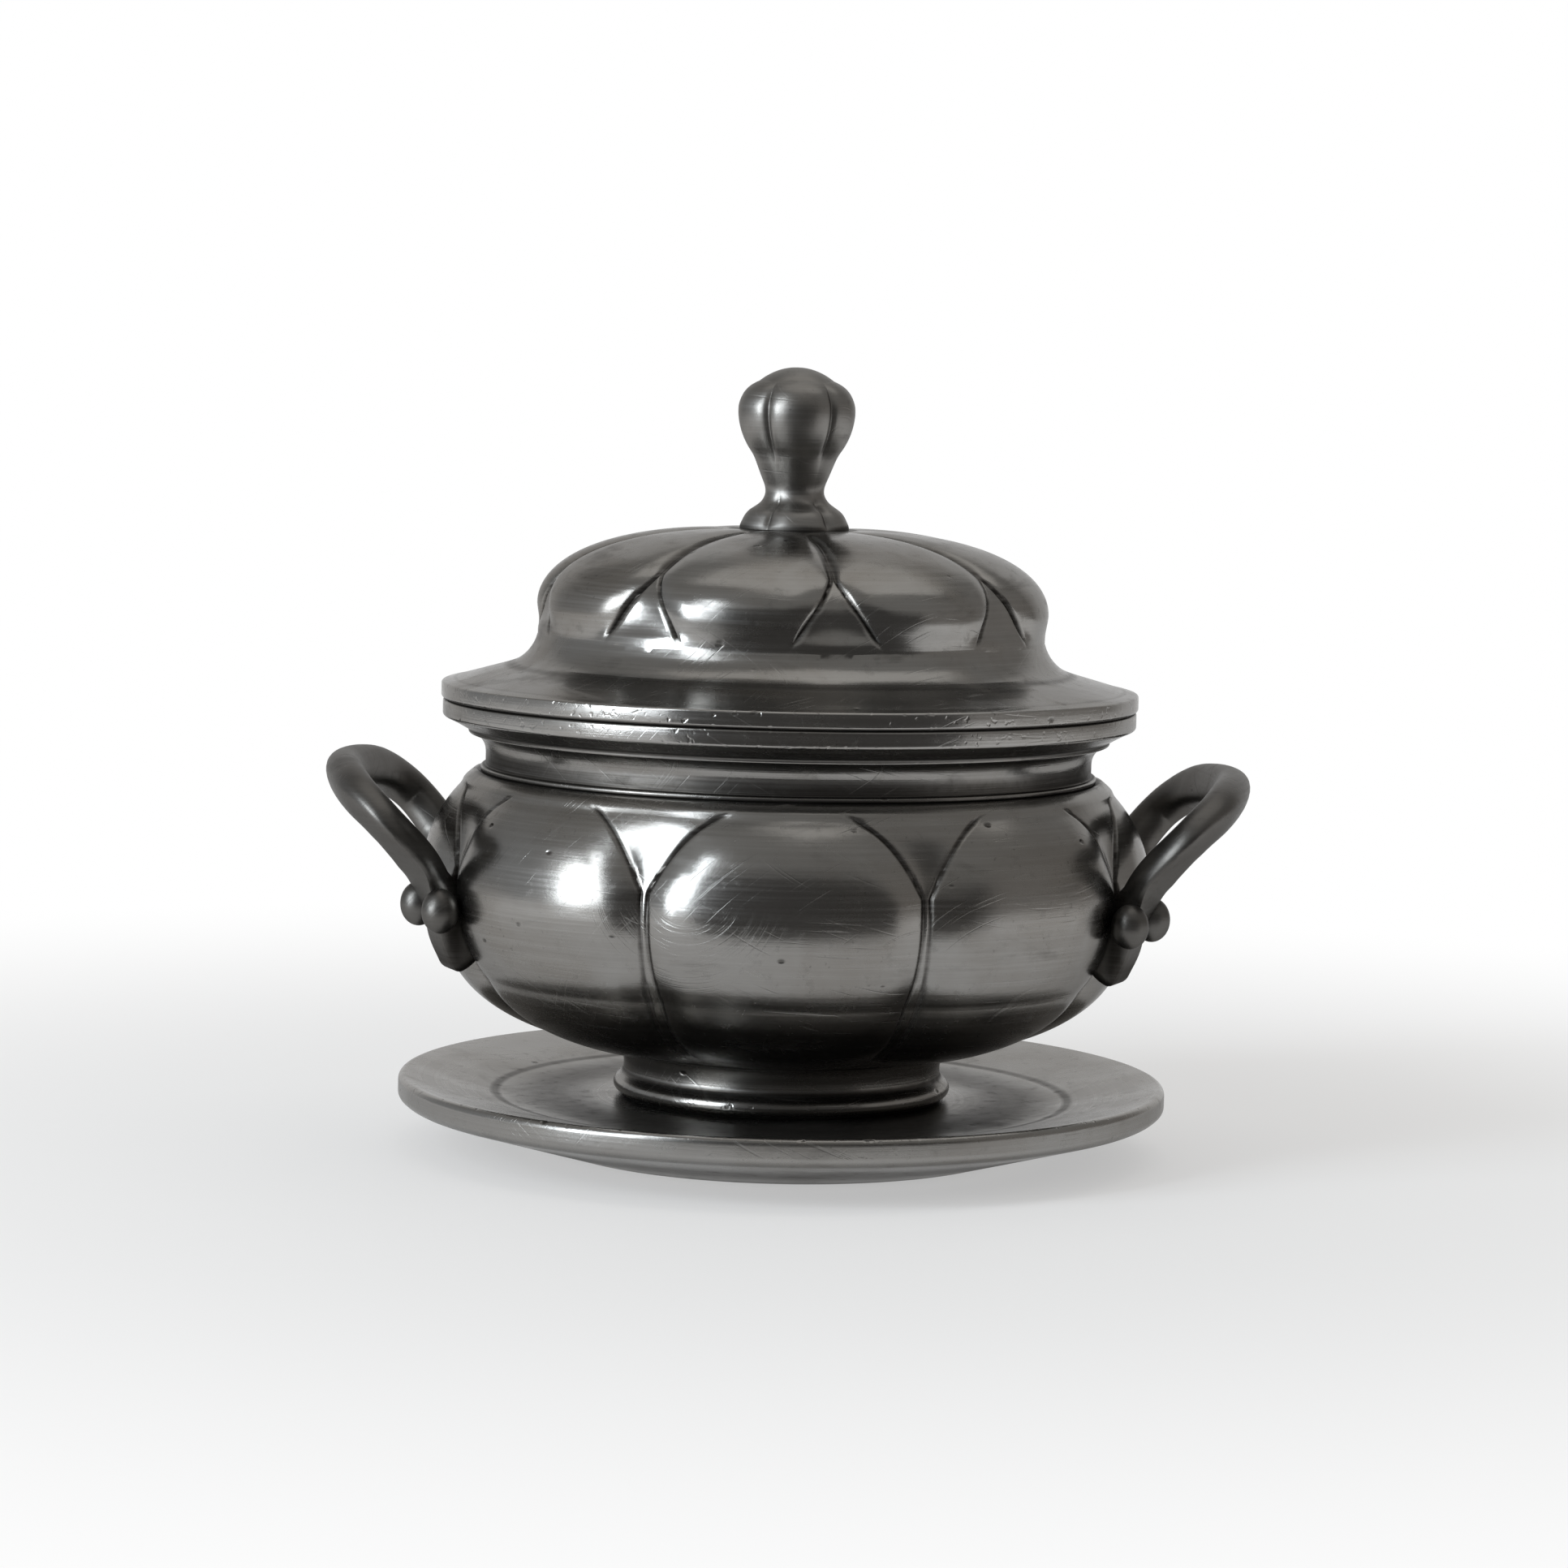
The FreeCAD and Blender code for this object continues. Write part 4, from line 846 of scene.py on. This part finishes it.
def handleMesh():
    half = math.pi / bowl["count"]
    outward = np.array([math.cos(half), math.sin(half), 0])
    up = np.array([0, 0, 1.0])
    middle = handle["standOff"] - handle["depth"] / 2

    def onFoot(height):
        return outward * (creaseRadius(height) + middle) + up * height

    tailHeight, tailOut = handle["tail"]
    leaveHeight, leaveOff = handle["leave"]
    leaveCrease = creaseRadius(leaveHeight)
    route = [onFoot(tailHeight) + outward * tailOut, *[onFoot(h) for h in handle["footHeights"]],
             outward * (leaveCrease + leaveOff) + up * leaveHeight]
    onBody = len(route) - 1
    route += [np.array([leaveCrease * math.cos(half) + out, aside, height])
              for out, aside, height in handle["loop"]]
    route += [point * (1, -1, 1) for point in reversed(route[:-1])]
    last = len(route) - 1
    lean, turnOut = math.radians(handle["lean"]), math.radians(handle["turnOut"])
    under = np.array([math.sin(lean), 0, -math.cos(lean)])
    facing, widths, depths = [], [], []
    for index in range(last + 1):
        along = unit(route[min(index + 1, last)] - route[max(index - 1, 0)])
        place, side = min(index, last - index), 1 if index <= last / 2 else -1
        free = under * math.cos(turnOut) + np.cross(along, under) * math.sin(turnOut)
        foot = np.array([outward[0], outward[1] * side, 0])
        facing.append(foot if place < onBody else foot + free if place == onBody else free)
        taper = max(place - onBody, 0) / (last / 2 - onBody)
        widths.append(handle["width"] * (1 - taper) + handle["apexWidth"] * taper)
        depths.append(handle["rootDepth"] if place < onBody else handle["depth"])
    line = smoothThrough(route, handle["perSpan"])
    facing = smoothThrough([unit(face) for face in facing], handle["perSpan"])
    place = np.linspace(0, last, len(line))
    widths, depths = (np.interp(place, np.arange(last + 1), sizes) for sizes in (widths, depths))
    along = unit(np.gradient(line, axis=0))
    out = unit(facing - along * np.sum(facing * along, 1, keepdims=True))
    across = np.cross(along, out)

    sections = strapSections()
    columns = len(sections[0])
    bm, row = spun([(1.0, index) for index in range(len(line))], columns)
    rowOf, angle, _ = readVerts(bm, row)
    column = np.round(angle / (2 * math.pi) * columns).astype(int) % columns
    # blunt rounded ends, and a rounder section towards the apex
    run = np.concatenate([[0], np.cumsum(np.linalg.norm(np.diff(line, axis=0), axis=1))])
    nearEnd = np.clip(np.minimum(run, run[-1] - run) / handle["blunt"], 0, 1)
    blunt = np.sqrt(np.clip(1 - (1 - nearEnd)**2, 0, 1))[rowOf]
    apexFrom, apexOver = handle["apexRamp"]
    rounder = smoothStep(1 - (np.abs(place - last / 2) - apexFrom) / apexOver)[rowOf, None]
    section = sections[0][column] * (1 - rounder) + sections[1][column] * rounder
    least, bluntMiddle = handle["bluntWidth"], handle["bluntMiddle"]
    aside = section[:, 0] * widths[rowOf] * (least + (1 - least) * blunt)
    deep = (bluntMiddle + (section[:, 1] - bluntMiddle) * blunt) * depths[rowOf]
    face = line[rowOf] + out[rowOf] * handle["depth"] / 2 + (handle["apexOut"], 0, 0) * rounder
    moveVerts(bm, face + across[rowOf] * aside[:, None] - out[rowOf] * deep[:, None])
    bmesh.ops.holes_fill(bm, edges=[edge for edge in bm.edges if len(edge.link_faces) == 1], sides=0)

    ballRadius, ballHalf = handle["ball"]
    scale = Matrix.Diagonal((ballRadius * mm, ballRadius * mm, ballHalf * mm, 1))
    sideways = np.array([-math.sin(half), math.cos(half), 0])
    centre = outward * (creaseRadius(handle["ballHeight"]) + handle["ballOff"]) \
        + up * handle["ballHeight"]
    for side in (1, -1):
        for aside in (-handle["ballAside"], handle["ballAside"]):
            spot = Vector((centre + sideways * aside) * (1, side, 1) * mm)
            bmesh.ops.create_uvsphere(
                bm, u_segments=handle["ballMesh"][0], v_segments=handle["ballMesh"][1], radius=1,
                matrix=Matrix.Translation(spot) @ scale)
    return bm


def handlePiece(name, node, turn):
    bm = handleMesh()
    spots = np.array([vert.co for vert in bm.verts]) / mm
    footRadius, footWidth, footTop, strength = handle["grimeAndShade"]
    distance = np.abs(np.hypot(spots[:, 0], spots[:, 1]) - footRadius)
    paint(bm, "grimeAndShade", np.clip(1 - distance / footWidth, 0, 1) * (spots[:, 2] < footTop) * strength)
    wornFrom, wornOver, mostWorn = handle["wear"]
    paint(bm, "wear", np.clip((spots[:, 0] - wornFrom) / wornOver, 0, mostWorn))
    bmesh.ops.rotate(bm, verts=bm.verts[:], cent=(0, 0, 0), matrix=Matrix.Rotation(turn, 3, "Z"))
    bmesh.ops.translate(bm, verts=bm.verts[:], vec=(0, 0, seat["bowl_body"] * mm))
    finished(bm, name, "bowl", node, handleMetal, sharp=40)


handlePiece("handleRightCast", "handle_right", 0)
handlePiece("handleLeftCast", "handle_left", math.pi)

for node in ("knob_stud", "knob_washer", "knob_nut"):
    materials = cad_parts[node].data.materials
    if len(materials):
        materials[0] = steelFinish
    else:
        materials.append(steelFinish)
print("pieces made")

# the cloth's edges are (distance to the front, left end, right end); ranges are along x, y or z
stage = {
    "floorRadius": 0.80, "floorDrop": 0.0002, "floorColour": (0.92, 0.92, 0.92),
    "nearGlow": 0.44, "glowRange": (0.09, 0.32),
    "left": (0.42, 0.43, 0.44), "right": (0.34, 0.325, 0.31), "back": (1.0, 0.99, 0.98),
    "ceiling": (0.33, 0.325, 0.315), "shade": (0.090, 0.087, 0.084), "white": (1, 1, 1),
    "clothNear": (-0.15, -0.08, 0.18), "clothFar": (-1.30, -1.10, 2.10), "clothRise": (0.0005, 1.15),
    "clothLeft": (-1.08, -0.7, 0.06, 0.0), "clothTop": (0.60, 1.15),
    "roomAcross": (-0.6, 0.6), "roomUp": (0.15, 0.75), "roomBack": (0.60, 0.86),
    "whiteBack": (0.965, 0.980), "whiteTop": (0.11, 0.15, 1.0, 0.0),
    "lampTarget": (0, 0, 0.05),
}


def backgroundRays(finish):
    # rays that see the white background itself: from the camera, off metal and through glass
    paths = finish.node("ShaderNodeLightPath")
    return [Field(finish, paths.outputs[name]) for name in (
        "Is Camera Ray", "Is Glossy Ray", "Is Transmission Ray")]


def paleFloor():
    bm = bmesh.new()
    bmesh.ops.create_circle(bm, cap_ends=True, segments=96, radius=stage["floorRadius"],
                            matrix=Matrix.Translation((0, 0, -stage["floorDrop"])))
    finish = Finish(bpy.data.materials.new("paleFloor"))
    x, y, _ = finish.parts(finish.place())
    distance = (x * x + y * y).root()
    share = sum(backgroundRays(finish)) \
        * finish.spread(distance, *stage["glowRange"], stage["nearGlow"], 1.0)
    diffuse = finish.take("ShaderNodeBsdfDiffuse", {}, {"Color": (*stage["floorColour"], 1)})
    glow = finish.take("ShaderNodeEmission", {}, {"Color": (*stage["white"], 1), "Strength": 1.0})
    mix = finish.take("ShaderNodeMixShader", {}, {0: share.clamp(), 1: diffuse, 2: glow})
    placed("paleFloor", bm, finish.give(mix))


def darkCloth():
    # a dark cloth before the object, on the floor and up, that shows only in the metal
    bm = bmesh.new()
    bmesh.ops.create_grid(bm, x_segments=1, y_segments=2, size=1)
    foot, top = stage["clothRise"]
    for vert in bm.verts:
        front, left, right = stage["clothNear"] if vert.co.y < -0.5 else stage["clothFar"]
        vert.co = (left if vert.co.x < 0 else right, front, top if vert.co.y > 0.5 else foot)
    finish = Finish(bpy.data.materials.new("darkCloth"))
    x, _, z = finish.parts(finish.place())
    colour = finish.mixed(finish.spread(x, *stage["clothLeft"]), stage["shade"], stage["left"])
    colour = finish.mixed(finish.spread(z, *stage["clothTop"]), colour, stage["ceiling"])
    glow = finish.take("ShaderNodeEmission", {}, {"Color": colour, "Strength": 1.0})
    cloth = placed("darkCloth", bm, finish.give(glow))
    cloth.visible_camera = cloth.visible_diffuse = cloth.visible_shadow = False


def softRoom():
    world = bpy.data.worlds.new("softRoom")
    bpy.context.scene.world = world
    finish = Finish(world)
    x, y, z = finish.parts(finish.take("ShaderNodeTexCoord", output="Generated"))
    room = finish.mixed(finish.spread(x, *stage["roomAcross"]), stage["left"], stage["right"])
    room = finish.mixed(finish.spread(z, *stage["roomUp"]), room, stage["ceiling"])
    room = finish.mixed(finish.spread(y, *stage["roomBack"]), room, stage["back"])
    camera, glossy, passed = backgroundRays(finish)
    behind = finish.spread(y, *stage["whiteBack"]) * finish.spread(z, *stage["whiteTop"])
    white = (camera + (glossy + passed) * behind).clamp()
    finish.give(finish.take("ShaderNodeBackground", {}, {
        "Color": finish.mixed(white, room, stage["white"]), "Strength": 1.0}), "ShaderNodeOutputWorld")


def softLamp(name, spot, size, power, colour):
    data = bpy.data.lights.new(name, "AREA")
    data.shape = "RECTANGLE"
    data.size, data.size_y = size
    data.energy = power
    data.color = colour
    lamp = bpy.data.objects.new(name, data)
    bpy.context.scene.collection.objects.link(lamp)
    lamp.location = spot
    aim = Vector(stage["lampTarget"]) - Vector(spot)
    lamp.rotation_euler = aim.to_track_quat("-Z", "Y").to_euler()


paleFloor()
darkCloth()
softRoom()
softLamp("tallWindow", (-1.08, -1.04, 0.64), (0.29, 1.26), 8.2, (0.87, 0.94, 1.0))
softLamp("sideWindow", (-1.30, -0.75, 0.39), (0.32, 0.78), 10.5, (0.87, 0.94, 1.0))
softLamp("overheadLamp", (0.2, 0.2, 1.6), (1.6, 1.6), 4, (1.0, 0.98, 0.95))

camera = {
    "spot": (-0.0006, -0.700, 0.1195), "downward": 5.26, "roll": 1.3, "lens": 106.8,
    "sensor": 36, "nearest": 0.01,
}
data = bpy.data.cameras.new("camera")
data.lens = camera["lens"]
data.sensor_width = camera["sensor"]
data.clip_start = camera["nearest"]
view = bpy.data.objects.new("camera", data)
bpy.context.scene.collection.objects.link(view)
view.matrix_world = Matrix.Translation(camera["spot"]) \
    @ Matrix.Rotation(math.radians(90 - camera["downward"]), 4, "X") \
    @ Matrix.Rotation(math.radians(camera["roll"]), 4, "Z")
bpy.context.scene.camera = view
bpy.context.scene.view_settings.view_transform = "Standard"
print("stage set")
